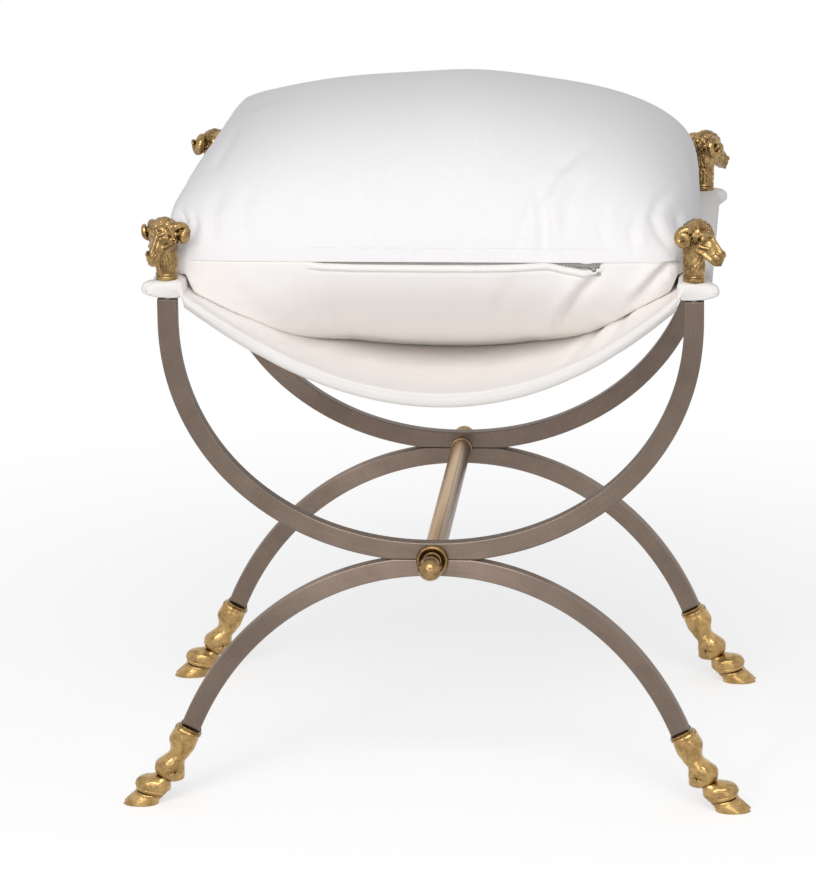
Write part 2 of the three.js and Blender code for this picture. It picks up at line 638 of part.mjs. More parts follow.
// The skins above and below the seam, moved inwards by an inset everywhere but at the seam itself.
function cushionSkins(inset) {
  const { steps } = cover;
  const grid = [];
  const line = (i) => Math.sin(Math.PI / 2 * (2 * i / steps - 1));
  for (const top of [true, false]) {
    for (let j = 0; j <= steps; j++) {
      for (let i = 0; i <= steps; i++) {
        const [u, v] = [line(i), line(j)];
        const point = seamPoint(u, v);
        const upper_z = lerp(point.z, crown_z, plump(u, v, crown_shares));
        const hanging = lerp(point.z, belly_z, plump(u, v, belly_shares));
        const lower_z = Math.max(hanging, Math.min(point.z, seatHeight(point.x, point.y)));
        const middle = (upper_z + lower_z) / 2;
        const on_rim = i % steps === 0 || j % steps === 0;
        if (on_rim) point.z = middle;
        else if (top) point.z = Math.max(upper_z - inset, middle);
        else point.z = Math.min(lower_z + inset, middle);
        grid.push(point);
      }
    }
  }
  const faces = [];
  const row = steps + 1;
  for (const base of [0, row * row]) {
    for (let j = 0; j < steps; j++) {
      for (let i = 0; i < steps; i++) {
        const corner = base + j * row + i;
        const quad = [corner, corner + 1, corner + row + 1, corner + row];
        if (base) quad.reverse();
        faces.push([quad[0], quad[1], quad[2]], [quad[0], quad[2], quad[3]]);
      }
    }
  }
  const geometry = new THREE.BufferGeometry().setFromPoints(grid);
  geometry.setIndex(faces.flat());
  return closed(geometry);
}

// Zip. Its slot lies just under the front seam, with a welt above and below; the tape is behind them.
const zip_z = seam_z - zip.drop - zip.opening / 2;
const zip_middle_x = (zip.left + zip.right) / 2;
const zip_length = zip.right - zip.left;
const cover_front_y = -cushion_front;
const welt_back_y = cover_front_y + cover.seam + zip.welt;
const tape_front_y = welt_back_y + seat_gap;
const coil_front_y = tape_front_y - zip.coil / 2;
const slider_x = zip.right - zip.end_room - slider.width / 2;
const slider_front_y = coil_front_y - seat_gap - slider.thickness;
const pin_y = slider_front_y - slide_fit - slider.pin;

// An upright column that stays inside the seam by a setback.
function seamColumn(setback) {
  const [across, along] = [1 + setback / front_left.x, 1 - setback / cushion_front];
  const corners = [[-across, -along], [across, -along], [across, along], [-across, along]];
  const per_side = 6;
  const rim = corners.flatMap(([u, v], k) => {
    const [next_u, next_v] = corners[(k + 1) % corners.length];
    return Array.from({ length: per_side }, (_, i) => {
      const { x, y } = seamPoint(lerp(u, next_u, i / per_side), lerp(v, next_v, i / per_side));
      return new THREE.Vector2(x, y);
    });
  });
  return solidOf(new THREE.ExtrudeGeometry(new THREE.Shape(rim), { depth: crown_z, bevelEnabled: false }));
}

function coverGeometry() {
  const cavity = solidOf(cushionSkins(cover.wall)).intersect(seamColumn(cover.seam));
  const hollow = solidOf(cushionSkins(0)).subtract(cavity);
  const welt_depth = zip.welt + cover.seam / 2;
  const welts = [-1, 1].map((side) => box(zip_length + 2 * zip.welt, welt_depth, zip.welt)
    .translate(zip_middle_x, welt_back_y - welt_depth / 2, zip_z + side * (zip.opening + zip.welt) / 2));
  const slot = box(zip_length, 4 * cushion.insert_setback, zip.opening)
    .translate(zip_middle_x, cover_front_y, zip_z);
  const welted = welts.reduce((sum, welt) => sum.add(solidOf(welt)), hollow);
  return geometryOf(welted.subtract(solidOf(slot)));
}

// The pad stays clear of the cover's seam all round, and of the zip.
function insertGeometry() {
  const pad = solidOf(cushionSkins(cover.wall + cover.ease)).intersect(seamColumn(cover.seam + cover.margin));
  const front_room = box(4 * cushion_front, 2 * cushion.insert_setback, 4 * cushion_front)
    .translate(0, cover_front_y, seam_z);
  return geometryOf(pad.subtract(solidOf(front_room)));
}

function zipTapeGeometry() {
  const tape = box(zip_length + 2 * zip.welt, zip.tape, zip.opening + 2 * zip.tape_margin)
    .translate(0, tape_front_y + zip.tape / 2, 0);
  const coil = box(zip_length - 2 * zip.welt, zip.coil, zip.coil).translate(0, tape_front_y, 0);
  return join(tape, coil);
}

// The slider's body with the bridge that holds the pull, about the pull's pin.
function sliderGeometry() {
  const { width, height, thickness, bridge, pin } = slider;
  const back = slider_front_y - pin_y;
  const body = box(width, thickness, height).translate(0, back + thickness / 2, 0);
  const span = 2 * (pin + slide_fit + bridge);
  const reach = back + pin + slide_fit + bridge;
  const arch = box(span, reach, bridge).translate(0, back + seat_gap / 2 - reach / 2, 0);
  const eye = box(span - 2 * bridge, 2 * (pin + slide_fit), 2 * bridge);
  const room = eye.clone().translate(0, back - (pin + slide_fit), 0);
  return join(body, cut(arch, room));
}

// A fork whose arms hold the pin, with the tab of the pull behind them.
function pullGeometry() {
  const { reach, height, thickness } = pull;
  const half = height / 2;
  const inner = slider.bridge / 2 + slide_fit;
  const throat = slider.pin + slide_fit + slider.bridge + slide_fit + thickness;
  const outline = [[0, inner], [0, half], [-reach, half], [-reach, -half], [0, -half], [0, -inner]];
  outline.push([-throat, -inner], [-throat, inner]);
  const fork = plate(new THREE.Shape(outline.map(([x, z]) => new THREE.Vector2(x, z))), thickness);
  const pin_length = height + slide_fit;
  const pin = roundBar(slider.pin * pull.pin_share, pin_length, 8).translate(0, 0, -pin_length / 2);
  return join(pin, fork);
}

add('front_upper_arc', upperArc(), steel, [0, -frame_y, 0]);
add('back_upper_arc', upperArc(), steel, [0, frame_y, 0]);
add('front_lower_arc', lowerArc(), steel, [0, -frame_y, 0]);
add('back_lower_arc', lowerArc(), steel, [0, frame_y, 0]);
addJointFittings();
addHooves();
addPostStuds();
addSideRails();
addRamHeads();
add('seat_sling', slingGeometry(), cream_canvas);
add('cushion_cover', coverGeometry(), white_cotton);
add('cushion_insert', insertGeometry(), white_cotton);
add('zip_tape', zipTapeGeometry(), nylon, [zip_middle_x, 0, zip_z]);
add('zip_slider', sliderGeometry(), zinc, [slider_x, pin_y, zip_z]);
add('zip_pull', pullGeometry(), zinc, [slider_x, pin_y, zip_z]);

export default stool;
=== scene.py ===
"""X-frame stool: brushed steel arcs, antique brass fittings, a canvas sling and a loose cotton cushion."""
import math

import bmesh
import bpy
import numpy as np
from mathutils import Euler, Matrix, Vector

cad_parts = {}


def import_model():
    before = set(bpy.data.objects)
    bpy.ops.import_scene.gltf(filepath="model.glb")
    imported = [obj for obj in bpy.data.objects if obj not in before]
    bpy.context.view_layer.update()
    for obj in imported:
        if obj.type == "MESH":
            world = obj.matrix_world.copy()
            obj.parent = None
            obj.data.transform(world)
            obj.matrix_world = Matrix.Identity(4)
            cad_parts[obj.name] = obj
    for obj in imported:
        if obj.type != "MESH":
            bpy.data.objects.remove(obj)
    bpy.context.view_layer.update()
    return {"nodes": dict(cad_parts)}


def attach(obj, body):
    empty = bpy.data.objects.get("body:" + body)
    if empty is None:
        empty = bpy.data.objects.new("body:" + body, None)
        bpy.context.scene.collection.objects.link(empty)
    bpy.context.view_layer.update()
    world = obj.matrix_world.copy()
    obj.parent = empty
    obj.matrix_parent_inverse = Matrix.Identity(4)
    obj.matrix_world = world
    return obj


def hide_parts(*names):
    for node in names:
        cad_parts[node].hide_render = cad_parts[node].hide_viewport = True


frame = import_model()
nodes = frame["nodes"]

MM = 0.001

# Driving sizes in millimetres, the same as the solids'
SEAT_GAP = 0.3
BAR_WIDTH, BAR_DEPTH, BAR_EDGE = 16, 11.5, 1.1
FRAME_Y = 350.3 / 2
JOINT_Z, JOINT_FLAT = 212.5, 2.1
UPPER = {"half_width": 211.5, "rise": 192, "roundness": 2.07}
LOWER = {"half_width": 220.1, "rise": 239.4, "roundness": 2.03}
POST = 17.6
ROD_RADIUS = 4.25
CANVAS = 2.2
RAIL_WIDTH, RAIL_THICKNESS = 22, 10.4
HOOF_HEIGHT, HOOF_LIP, SOCKET, LEG_IN = 69, 68.5, 13, 12.1
SLING_HALF = 184

# Places that follow from them
POST_X = UPPER["half_width"]
UPPER_Z = JOINT_Z - JOINT_FLAT + BAR_WIDTH / 2 + UPPER["rise"]
LOWER_Z = JOINT_Z + JOINT_FLAT - BAR_WIDTH / 2 - LOWER["rise"]
BAR_FACE, BAR_INNER = FRAME_Y + BAR_DEPTH / 2, FRAME_Y - BAR_DEPTH / 2
RAIL_BASE = UPPER_Z + POST + CANVAS + 2 * SEAT_GAP
RAIL_TOP = RAIL_BASE + RAIL_THICKNESS
RAIL_MIDDLE = RAIL_BASE + RAIL_THICKNESS / 2
HEAD_BASE = RAIL_TOP + CANVAS + 2 * SEAT_GAP
SLEEVE_TOP = RAIL_TOP + SEAT_GAP + CANVAS
SLEEVE_HALF = RAIL_WIDTH / 2 + SEAT_GAP + CANVAS
SHEET_REACH = POST_X - SLEEVE_HALF
SHEET_HALF = SHEET_REACH + CANVAS / 2
SHEET_TOP = RAIL_BASE + SEAT_GAP

# The camera that took the photograph, with its turn in degrees and its lens on a 36 mm sensor
CAMERA_PLACE = (302.333, -4128.257, 1368.147)
CAMERA_TURN = Euler([math.radians(angle) for angle in (75.07936, 0.75121, 4.44669)]).to_matrix()
LENS, SENSOR = 207.985, 36
PHOTO_WIDTH, PHOTO_HEIGHT = 816, 880

ENDS = (("front", -1), ("back", 1))
HANDS = (("left", -1), ("right", 1))


# Meshes
def unit(vectors):
    """The same vectors with a length of one."""
    return vectors / np.maximum(np.linalg.norm(vectors, axis=-1, keepdims=True), 1e-9)


def bent(values, power):
    """A power that keeps the values' signs."""
    return np.sign(values) * np.abs(values) ** power


def bell(values, width=1.0, power=2):
    """A bell curve, 1 at zero."""
    return np.exp(-(values / width) ** power)


def run_of(line):
    """Length of a line from its start to each of its points."""
    return np.concatenate([[0], np.cumsum(np.linalg.norm(np.diff(line, axis=0), axis=1))])


def by_length(curve, lengths):
    """Points of a curve at lengths from its start."""
    run = run_of(curve)
    return np.stack([np.interp(lengths, run, curve[:, k]) for k in range(3)], 1)


def face_outwards(mesh):
    """Turns all faces of a closed mesh outwards."""
    work = bmesh.new()
    work.from_mesh(mesh)
    bmesh.ops.recalc_face_normals(work, faces=work.faces)
    work.to_mesh(mesh)
    work.free()


def make(name, points, faces, body, material, replaced=(), uv=None, marks=None):
    """A smooth mesh from points in millimetres that rides on a body; marks are values at its points."""
    mesh = bpy.data.meshes.new(name)
    mesh.from_pydata((np.asarray(points, float) * MM).tolist(), [], [tuple(map(int, f)) for f in faces])
    mesh.polygons.foreach_set("use_smooth", [True] * len(mesh.polygons))
    if uv is not None:
        layer = mesh.uv_layers.new(name="cloth")
        loops = np.zeros(len(mesh.loops), np.int32)
        mesh.loops.foreach_get("vertex_index", loops)
        layer.data.foreach_set("uv", (np.asarray(uv, float) * MM)[loops].ravel())
    for key, values in (marks or {}).items():
        mesh.attributes.new(key, "FLOAT", "POINT").data.foreach_set("value", np.asarray(values, np.float32))
    mesh.update()
    face_outwards(mesh)
    mesh.materials.append(material)
    piece = bpy.data.objects.new(name, mesh)
    bpy.context.scene.collection.objects.link(piece)
    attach(piece, body)
    if replaced:
        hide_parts(*replaced)
    return piece


def skin(rings, capped=True):
    """Points and faces of a closed skin over rings of equally many points."""
    rings = np.asarray(rings, float)
    count, size = rings.shape[:2]
    first = (np.arange(count - 1)[:, None] * size + np.arange(size)[None]).ravel()
    after = (np.arange(count - 1)[:, None] * size + (np.arange(size)[None] + 1) % size).ravel()
    faces = np.stack([first, after, after + size, first + size], 1).tolist()
    if capped:
        faces.append(list(range(size))[::-1])
        faces.append([(count - 1) * size + k for k in range(size)])
    return rings.reshape(-1, 3), faces


def turned(profile, sides=96):
    """A lathe-turned skin round the Y axis; the profile lists [radius, place along Y] and is closed."""
    profile = np.asarray(profile, float)
    angles = np.linspace(0, 2 * math.pi, sides, endpoint=False)
    points = np.stack([
        np.outer(np.cos(angles), profile[:, 0]),
        np.repeat(profile[None, :, 1], sides, 0),
        np.outer(np.sin(angles), profile[:, 0]),
    ], -1)
    size = len(profile)
    faces = []
    for a in range(sides):
        b = (a + 1) % sides
        for k in range(size):
            n = (k + 1) % size
            faces.append((a * size + k, a * size + n, b * size + n, b * size + k))
    return points.reshape(-1, 3), faces


def rounded(corners, radius=0.5, steps=4):
    """A closed profile with its corners rounded; each corner is [x, y] or [x, y, its own radius]."""
    out = []
    count = len(corners)
    for k in range(count):
        before, here, after = (np.array(corners[i % count][:2], float) for i in (k - 1, k, k + 1))
        own = corners[k][2] if len(corners[k]) > 2 else radius
        if own <= 0:
            out.append(here)
            continue
        a, b = before - here, after - here
        la, lb = np.linalg.norm(a), np.linalg.norm(b)
        cut = min(own, la * 0.45, lb * 0.45)
        start, end = here + a / la * cut, here + b / lb * cut
        for t in np.linspace(0, 1, steps + 1):
            out.append((1 - t) ** 2 * start + 2 * t * (1 - t) * here + t * t * end)
    return np.array(out)


def ease_in(value, low, high):
    """A smooth step from 0 at low to 1 at high."""
    t = np.clip((value - low) / (high - low), 0, 1)
    return t * t * (3 - 2 * t)


# Shader nodes
def feed(tree, socket, value):
    """Links a socket to another node's output, or sets it to a number, vector or colour."""
    if isinstance(value, bpy.types.NodeSocket):
        tree.links.new(value, socket)
    elif socket.type == "RGBA":
        socket.default_value = (*value, 1)
    else:
        socket.default_value = value


def node(tree, kind, inputs=None, **settings):
    """A shader node with its settings, and with its inputs fed by name or number."""
    made = tree.nodes.new("ShaderNode" + kind)
    for key, value in settings.items():
        setattr(made, key, value)
    for key, value in (inputs or {}).items():
        feed(tree, made.inputs[key], value)
    return made


def blank_tree(owner, kind):
    """The emptied node tree of a material or world, with its output node."""
    owner.use_nodes = True
    owner.node_tree.nodes.clear()
    return owner.node_tree, node(owner.node_tree, kind)


def shader(name, uniform):
    """A material with one Principled shader, whose uniform values are set on its own sockets."""
    material = bpy.data.materials.new(name)
    tree, out = blank_tree(material, "OutputMaterial")
    bsdf = node(tree, "BsdfPrincipled", uniform)
    feed(tree, out.inputs[0], bsdf.outputs[0])
    return material, tree, bsdf


def mapped(tree, scale=(1, 1, 1), uv_map=None):
    """Scaled coordinates on the object, or along the cloth or bar."""
    if uv_map:
        place = node(tree, "UVMap", uv_map=uv_map).outputs[0]
    else:
        place = node(tree, "TexCoord").outputs["Object"]
    return node(tree, "Mapping", {0: place, "Scale": scale}).outputs[0]


def noise_at(tree, scale, vector, detail, roughness=0.55):
    """Value of a noise texture at a place."""
    inputs = {"Scale": scale, "Detail": detail, "Roughness": roughness, "Vector": vector}
    return node(tree, "TexNoise", inputs).outputs["Fac"]


def ramp(tree, value, stops):
    """A colour ramp of [place, colour] stops."""
    made = node(tree, "ValToRGB", {0: value})
    elements = made.color_ramp.elements
    while len(elements) < len(stops):
        elements.new(0.5)
    for element, (place, color) in zip(elements, stops):
        element.position = place
        element.color = (*color, 1)
    return made.outputs[0]


def grey_ramp(tree, value, *stops):
    """A ramp between greys; its stops are [place, grey]."""
    return ramp(tree, value, [(place, (grey, grey, grey)) for place, grey in stops])


def mix(tree, factor, a, b, kind="MIX"):
    """One colour over another by a factor."""
    return node(tree, "Mix", {0: factor, 6: a, 7: b}, data_type="RGBA", blend_type=kind).outputs[2]


def calc(tree, kind, a, b=0.0, clamp=False):
    """Result of arithmetic on one or two values."""
    return node(tree, "Math", {0: a, 1: b}, operation=kind, use_clamp=clamp).outputs[0]


def linear(tree, value, gain, base):
    """The value times a gain, plus a base."""
    return calc(tree, "ADD", calc(tree, "MULTIPLY", value, gain), base)


def swing(tree, value, middle, gain):
    """How far the value is from a middle, times a gain."""
    return calc(tree, "MULTIPLY", calc(tree, "SUBTRACT", value, middle), gain)


def attribute(tree, name):
    """Value of a mark that a mesh carries."""
    return node(tree, "Attribute", attribute_name=name).outputs["Fac"]


def cover(tree, bsdf, color, rough, height, distance, strength):
    """Feeds the shader its colour, its roughness and a bump of some distance in metres."""
    relief = node(tree, "Bump", {"Strength": strength, "Distance": distance, "Height": height})
    for name, value in (("Base Color", color), ("Roughness", rough), ("Normal", relief.outputs[0])):
        feed(tree, bsdf.inputs[name], value)


# Materials
def steel_material(name, tone, brushing):
    """Steel brushed along the bar, with faint brown clouds, a fine grain and a painted highlight on its
    rounded edges.
    """
    uniform = {"Metallic": 1.0, "Anisotropic": brushing, "Anisotropic Rotation": 0.25}
    material, tree, bsdf = shader(name, uniform)
    fine = noise_at(tree, 1.0, mapped(tree, (45, 3800, 1), "cloth"), 3)
    streak = noise_at(tree, 1.0, mapped(tree, (14, 700, 1), "cloth"), 3)
    blotch = noise_at(tree, 22.0, mapped(tree), 5, 0.6)
    speck = noise_at(tree, 900.0, mapped(tree), 3)
    grain = mix(tree, 0.5, fine, streak)
    base = ramp(tree, blotch, [(0.3, [v * 0.86 for v in tone]), (0.7, [v * 1.12 for v in tone])])
    lit = grey_ramp(tree, mix(tree, 0.45, grain, speck), (0.35, 0.82), (0.65, 1.12))
    color = mix(tree, 1.0, base, lit, "MULTIPLY")
    # Painted highlight: the marked rounded edges are mixed towards a lighter steel colour
    edge_highlighted = mix(tree, attribute(tree, "edge"), color, (0.36, 0.31, 0.27))
    cover(tree, bsdf, edge_highlighted, grey_ramp(tree, grain, (0.25, 0.3), (0.75, 0.44)), grain, 0.00003, 0.1)
    tangent = node(tree, "Tangent", direction_type="UV_MAP", uv_map="cloth")
    feed(tree, bsdf.inputs["Tangent"], tangent.outputs[0])
    return material


# Painted reflection on the tube: colours by the share of a turn about its axis, from below over its left side
TUBE_REFLECTION_BANDS = [
    (0.12, (0.2, 0.15, 0.11)), (0.3, (0.27, 0.18, 0.105)), (0.345, (0.42, 0.28, 0.145)),
    (0.4, (0.52, 0.335, 0.155)), (0.53, (0.56, 0.37, 0.18)), (0.55, (0.2, 0.13, 0.07)),
    (0.562, (0.43, 0.29, 0.16)), (0.585, (0.4, 0.27, 0.15)), (0.597, (0.22, 0.15, 0.1)),
    (0.61, (0.33, 0.25, 0.185)), (0.7, (0.26, 0.2, 0.155)), (0.88, (0.2, 0.15, 0.11)),
]


def tube_material():
    """Satin brass with painted reflections in stripes along the tube, bright gold on its upper left side."""
    material, tree, bsdf = shader("tube_brass", {"Metallic": 1.0})
    parts = node(tree, "SeparateXYZ", {0: node(tree, "TexCoord").outputs["Object"]})
    height = calc(tree, "SUBTRACT", parts.outputs["Z"], JOINT_Z * MM)
    turn = calc(tree, "ARCTAN2", parts.outputs["X"], height)
    drift = noise_at(tree, 1.0, mapped(tree, (30, 9, 30)), 3)
    turn = calc(tree, "ADD", turn, swing(tree, drift, 0.5, 0.16))
    # Painted reflection: bright and dark bands set by the turn about the tube's axis
    reflection_bands = ramp(tree, linear(tree, turn, 0.5 / math.pi, 0.5), TUBE_REFLECTION_BANDS)
    grain = noise_at(tree, 1.0, mapped(tree, (1400, 24, 1400)), 3)
    cloud = noise_at(tree, 60.0, mapped(tree), 4)
    tone = grey_ramp(tree, mix(tree, 0.5, grain, cloud), (0.35, 0.86), (0.65, 1.05))
    color = mix(tree, 1.0, reflection_bands, tone, "MULTIPLY")
    # Patina and painted shade: the marked hollows are darkened
    color = mix(tree, attribute(tree, "patina_and_shade"), color, (0.08, 0.05, 0.03))
    cover(tree, bsdf, color, linear(tree, cloud, 0.16, 0.24), grain, 0.00003, 0.4)
    return material


def brass_material(name, bright, dark, patina_and_shade_tone, rough, mottle):
    """Brass with a dark patina and painted shade in the hollows, cloudy tarnish that is also painted
    reflection, and fine specks.
    """
    material, tree, bsdf = shader(name, {"Metallic": 1.0})
    place = mapped(tree)
    broad = noise_at(tree, 110.0, place, 5, 0.6)
    small = noise_at(tree, 420.0, place, 4, 0.6)
    fine = noise_at(tree, 1500.0, place, 3)
    # Cloudy tarnish between the dark and bright tones, which also stands in as painted reflection
    color = mix(tree, grey_ramp(tree, broad, (0.38, 0), (0.6, 1)), dark, bright)
    specks = ramp(tree, small, [(0.5, (1, 1, 1)), (0.68, (0.5, 0.42, 0.36))])
    color = mix(tree, mottle, color, specks, "MULTIPLY")
    # Patina and painted shade: the marked hollows, spread by noise, take the dark tone
    hollow = attribute(tree, "patina_and_shade")
    spread = calc(tree, "ADD", hollow, swing(tree, small, 0.5, 0.7), clamp=True)
    depth = calc(tree, "MULTIPLY", spread, grey_ramp(tree, hollow, (0.03, 0.12), (0.25, 1)), clamp=True)
    color = mix(tree, depth, color, patina_and_shade_tone)
    varied = calc(tree, "ADD", linear(tree, depth, 0.3, rough), swing(tree, broad, 0.45, 0.25))
    cover(tree, bsdf, color, varied, mix(tree, 0.4, small, fine), 0.00005 + 0.00035 * mottle, 0.6)
    return material


def fabric_material(name, light, shade, thread, depth=0.00012, lower_painted_light=None):
    """Plain weave of threads of a pitch in metres; the optional last pair of tones is painted light, warmer
    and lighter, on the side that the mesh marks.
    """
    uniform = {"Sheen Weight": 0.12, "Sheen Roughness": 0.5, "Specular IOR Level": 0.2}
    material, tree, bsdf = shader(name, uniform)
    threads = {
        "Scale": 1 / thread / 20 * math.pi * 2, "Distortion": 0.6, "Detail": 1.0, "Detail Scale": 2.0,
        "Vector": mapped(tree, uv_map="cloth"),
    }
    waves = [node(tree, "TexWave", threads, bands_direction=way).outputs["Fac"] for way in "XY"]
    weave = calc(tree, "MAXIMUM", *waves)
    slubs = [noise_at(tree, 1.0, mapped(tree, scale, "cloth"), 2) for scale in ((60, 900, 1), (900, 60, 1))]
    yarn = mix(tree, 0.5, *slubs)
    cloud = noise_at(tree, 14.0, mapped(tree), 4)
    # Painted light: the marked side takes warmer, lighter tones
    if lower_painted_light:
        light, shade = (mix(tree, attribute(tree, "lower_painted_light"), *tones) for tones in zip((light, shade), lower_painted_light))
    color = mix(tree, cloud, shade, light)
    color = mix(tree, 1.0, color, grey_ramp(tree, yarn, (0.3, 0.955), (0.7, 1)), "MULTIPLY")
    color = mix(tree, 1.0, color, grey_ramp(tree, weave, (0, 0.95), (0.6, 1)), "MULTIPLY")
    rough = grey_ramp(tree, yarn, (0, 0.82), (1, 0.95))
    cover(tree, bsdf, color, rough, mix(tree, 0.4, weave, yarn), depth, 0.6)
    return material


def plain_metal(name, light, dark, rough):
    """A dull metal with faint clouds and a fine grain."""
    material, tree, bsdf = shader(name, {"Metallic": 1.0})
    place = mapped(tree)
    broad = noise_at(tree, 120.0, place, 4)
    fine = noise_at(tree, 1500.0, place, 2)
    color = mix(tree, broad, dark, light)
    cover(tree, bsdf, color, linear(tree, fine, 0.2, rough - 0.1), fine, 0.00004, 0.4)
    return material


# One steel in two tones: the legs' copy is painted lighter, for the brighter light on the lower arcs
STEEL = steel_material("brushed_steel", (0.185, 0.142, 0.115), 0.8)
LIGHTER_LEG_STEEL = steel_material("brushed_steel_legs", (0.215, 0.164, 0.133), 0.93)
TUBE_BRASS = tube_material()
BRASS = brass_material(
    "antique_brass", (0.44, 0.29, 0.125), (0.2, 0.125, 0.052), (0.035, 0.02, 0.01), 0.17, 0.5,
)
CAST_BRASS = brass_material(
    "cast_brass", (0.56, 0.365, 0.15), (0.38, 0.24, 0.095), (0.06, 0.034, 0.015), 0.16, 0.2,
)
TURNED_BRASS = brass_material(
    "turned_brass", (0.4, 0.265, 0.12), (0.26, 0.165, 0.075), (0.06, 0.034, 0.015), 0.22, 0.3,
)
SATIN_BRASS = brass_material(
    "satin_brass", (0.42, 0.28, 0.15), (0.3, 0.2, 0.11), (0.1, 0.062, 0.035), 0.3, 0.12,
)
# Cool tones on the upper skin and warmer, lighter ones on the lower: painted light
COTTON = fabric_material(
    "white_cotton", (0.91, 0.9, 0.91), (0.89, 0.88, 0.885), 0.0008,
    lower_painted_light=((0.95, 0.922, 0.9), (0.92, 0.885, 0.86)),
)
CANVAS_CLOTH = fabric_material(
    "cream_canvas", (0.955, 0.93, 0.905), (0.925, 0.893, 0.862), 0.0011, depth=0.0002,
)
THREAD = fabric_material("thread", (0.9, 0.87, 0.84), (0.83, 0.79, 0.76), 0.0005, depth=0.0001)
ZINC = plain_metal("zinc", (0.46, 0.48, 0.49), (0.36, 0.38, 0.39), 0.38)
ZIP_TAPE = fabric_material("zip_tape", (0.6, 0.57, 0.53), (0.52, 0.49, 0.46), 0.0006, depth=0.0001)
ZIP_COIL = fabric_material("zip_coil", (0.5, 0.47, 0.44), (0.4, 0.37, 0.35), 0.0006, depth=0.00006)
ZIP_METAL = plain_metal("zip_metal", (0.2, 0.22, 0.19), (0.13, 0.15, 0.13), 0.3)


# Steel arcs
# Distances from the middle at which a bar has points, close together round the rod's notch
JOINT_PLACES = [30, 26, 22, 18, 14, 10, 7, 5.4, 4.62, 4.56, 4.3, 3.9, 3.3, 2.5, 1.5, 0.5]
NOTCH_RADIUS = ROD_RADIUS + 0.35
JOINT_REACH = 60


def arc_line(arc, angles):
    """Points of a superelliptic arc as [x, z] and its outward normals there."""
    shares = bent(np.stack([np.cos(angles), np.sin(angles)], 1), 2 / arc["roundness"])
    size = np.array([arc["half_width"], arc["rise"]])
    return shares * size, unit(bent(shares, arc["roundness"] - 1) / size)


def arc_path(arc, base, upper):
    """Middle line of a bar and its normals; an upper bar runs on into its straight posts."""
    near = np.array([-place for place in JOINT_PLACES] + JOINT_PLACES[::-1])
    if upper:
        centre, first, steps = 1.5 * math.pi, math.pi, 86
    else:
        centre, steps = 0.5 * math.pi, 78
        first = math.asin(((HOOF_LIP - LEG_IN - base) / arc["rise"]) ** (arc["roundness"] / 2))
    middle = centre + np.arcsin(bent(near / arc["half_width"], arc["roundness"] / 2))
    line, normal = arc_line(arc, np.concatenate([
        np.linspace(first, middle[0] - 0.005, steps), middle,
        np.linspace(middle[-1] + 0.005, 2 * centre - first, steps),
    ]))
    if upper:
        post = np.array([[0, POST], [0, POST - 0.5]])
        line = np.concatenate([line[:1] + post, line, line[-1:] + post[::-1]])
        normal = np.concatenate([normal[:1], normal[:1], normal, normal[-1:], normal[-1:]])
    return line + [0, base], normal


def bar_section():
    """Rounded section of the bar as [across, depth] with its perimeter and a mark on its edges."""
    w, d, r, s = BAR_WIDTH / 2, BAR_DEPTH / 2, BAR_EDGE, 0.35
    points, edge = [], []
    for sx, sd, start in ((1, 1, 0), (-1, 1, 90), (-1, -1, 180), (1, -1, 270)):
        centre = np.array([sx * (w - r), sd * (d - r)])
        angles = [math.radians(start + angle) for angle in (0, 22.5, 45, 67.5, 90)]
        arc = [centre + r * np.array([math.cos(angle), math.sin(angle)]) for angle in angles]
        ahead, behind = (np.array([-math.sin(angle), math.cos(angle)]) for angle in (angles[0], angles[-1]))
        points += [arc[0] - ahead * s, *arc, arc[-1] + behind * s]
        edge += [0, 0.25, 0.8, 1, 0.8, 0.25, 0]
    points = np.array(points)
    return points, run_of(points), np.array(edge)


def arc_bar(name, node_name, side, upper):
    """One bent bar, with a half-round notch for the rod where it meets the other."""
    section, perimeter, edge = bar_section()
    line, normal = arc_path(UPPER, UPPER_Z, True) if upper else arc_path(LOWER, LOWER_Z, False)
    half = BAR_WIDTH / 2
    fold = perimeter[len(perimeter) // 2]
    folded = np.where(perimeter <= fold, perimeter, 2 * fold - perimeter)
    rings, uv = [], []
    for (x, z), (nx, nz), length in zip(line, normal, run_of(line)):
        notch = math.sqrt(max(0.0, NOTCH_RADIUS ** 2 - x * x))
        room = (abs(z - JOINT_Z) - max(SEAT_GAP / 2, notch)) / max(abs(nz), 0.1)
        cut = max(0.0, half - room) / half if abs(x) < JOINT_REACH else 0
        offset = section[:, 0] * np.where(section[:, 0] > 0, 1 - cut, 1)
        rings.append(np.stack([x + nx * offset, side * FRAME_Y + section[:, 1], z + nz * offset], 1))
        uv.append(np.stack([np.full(len(section), length), folded], 1))
    points, faces = skin(rings)
    # The edge mark sets the painted highlight on the rounded edges, stronger on the legs
    marks = {"edge": np.tile(edge, len(rings)) * (0.12 if upper else 0.3)}
    material = STEEL if upper else LIGHTER_LEG_STEEL
    make(name, points, faces, "frame", material, [node_name], np.concatenate(uv), marks)


for end, side in ENDS:
    arc_bar(f"{end}_upper_bar", f"{end}_upper_arc", side, True)
    arc_bar(f"{end}_lower_bar", f"{end}_lower_arc", side, False)


# Joint fittings
RING_FACE = BAR_FACE + SEAT_GAP
KNOB_FOOT = RING_FACE + 4.6 - 1.8 + SEAT_GAP
NECK_RADIUS, BALL_RADIUS, BALL_OUT = 5.8, 9.9, 26
WELL_RADIUS, WELL_DEPTH = 10.4, 3.6
TUBE_RADIUS, TUBE_BORE = 8.75, 7
TUBE_HALF = BAR_INNER - 2 * SEAT_GAP - 3


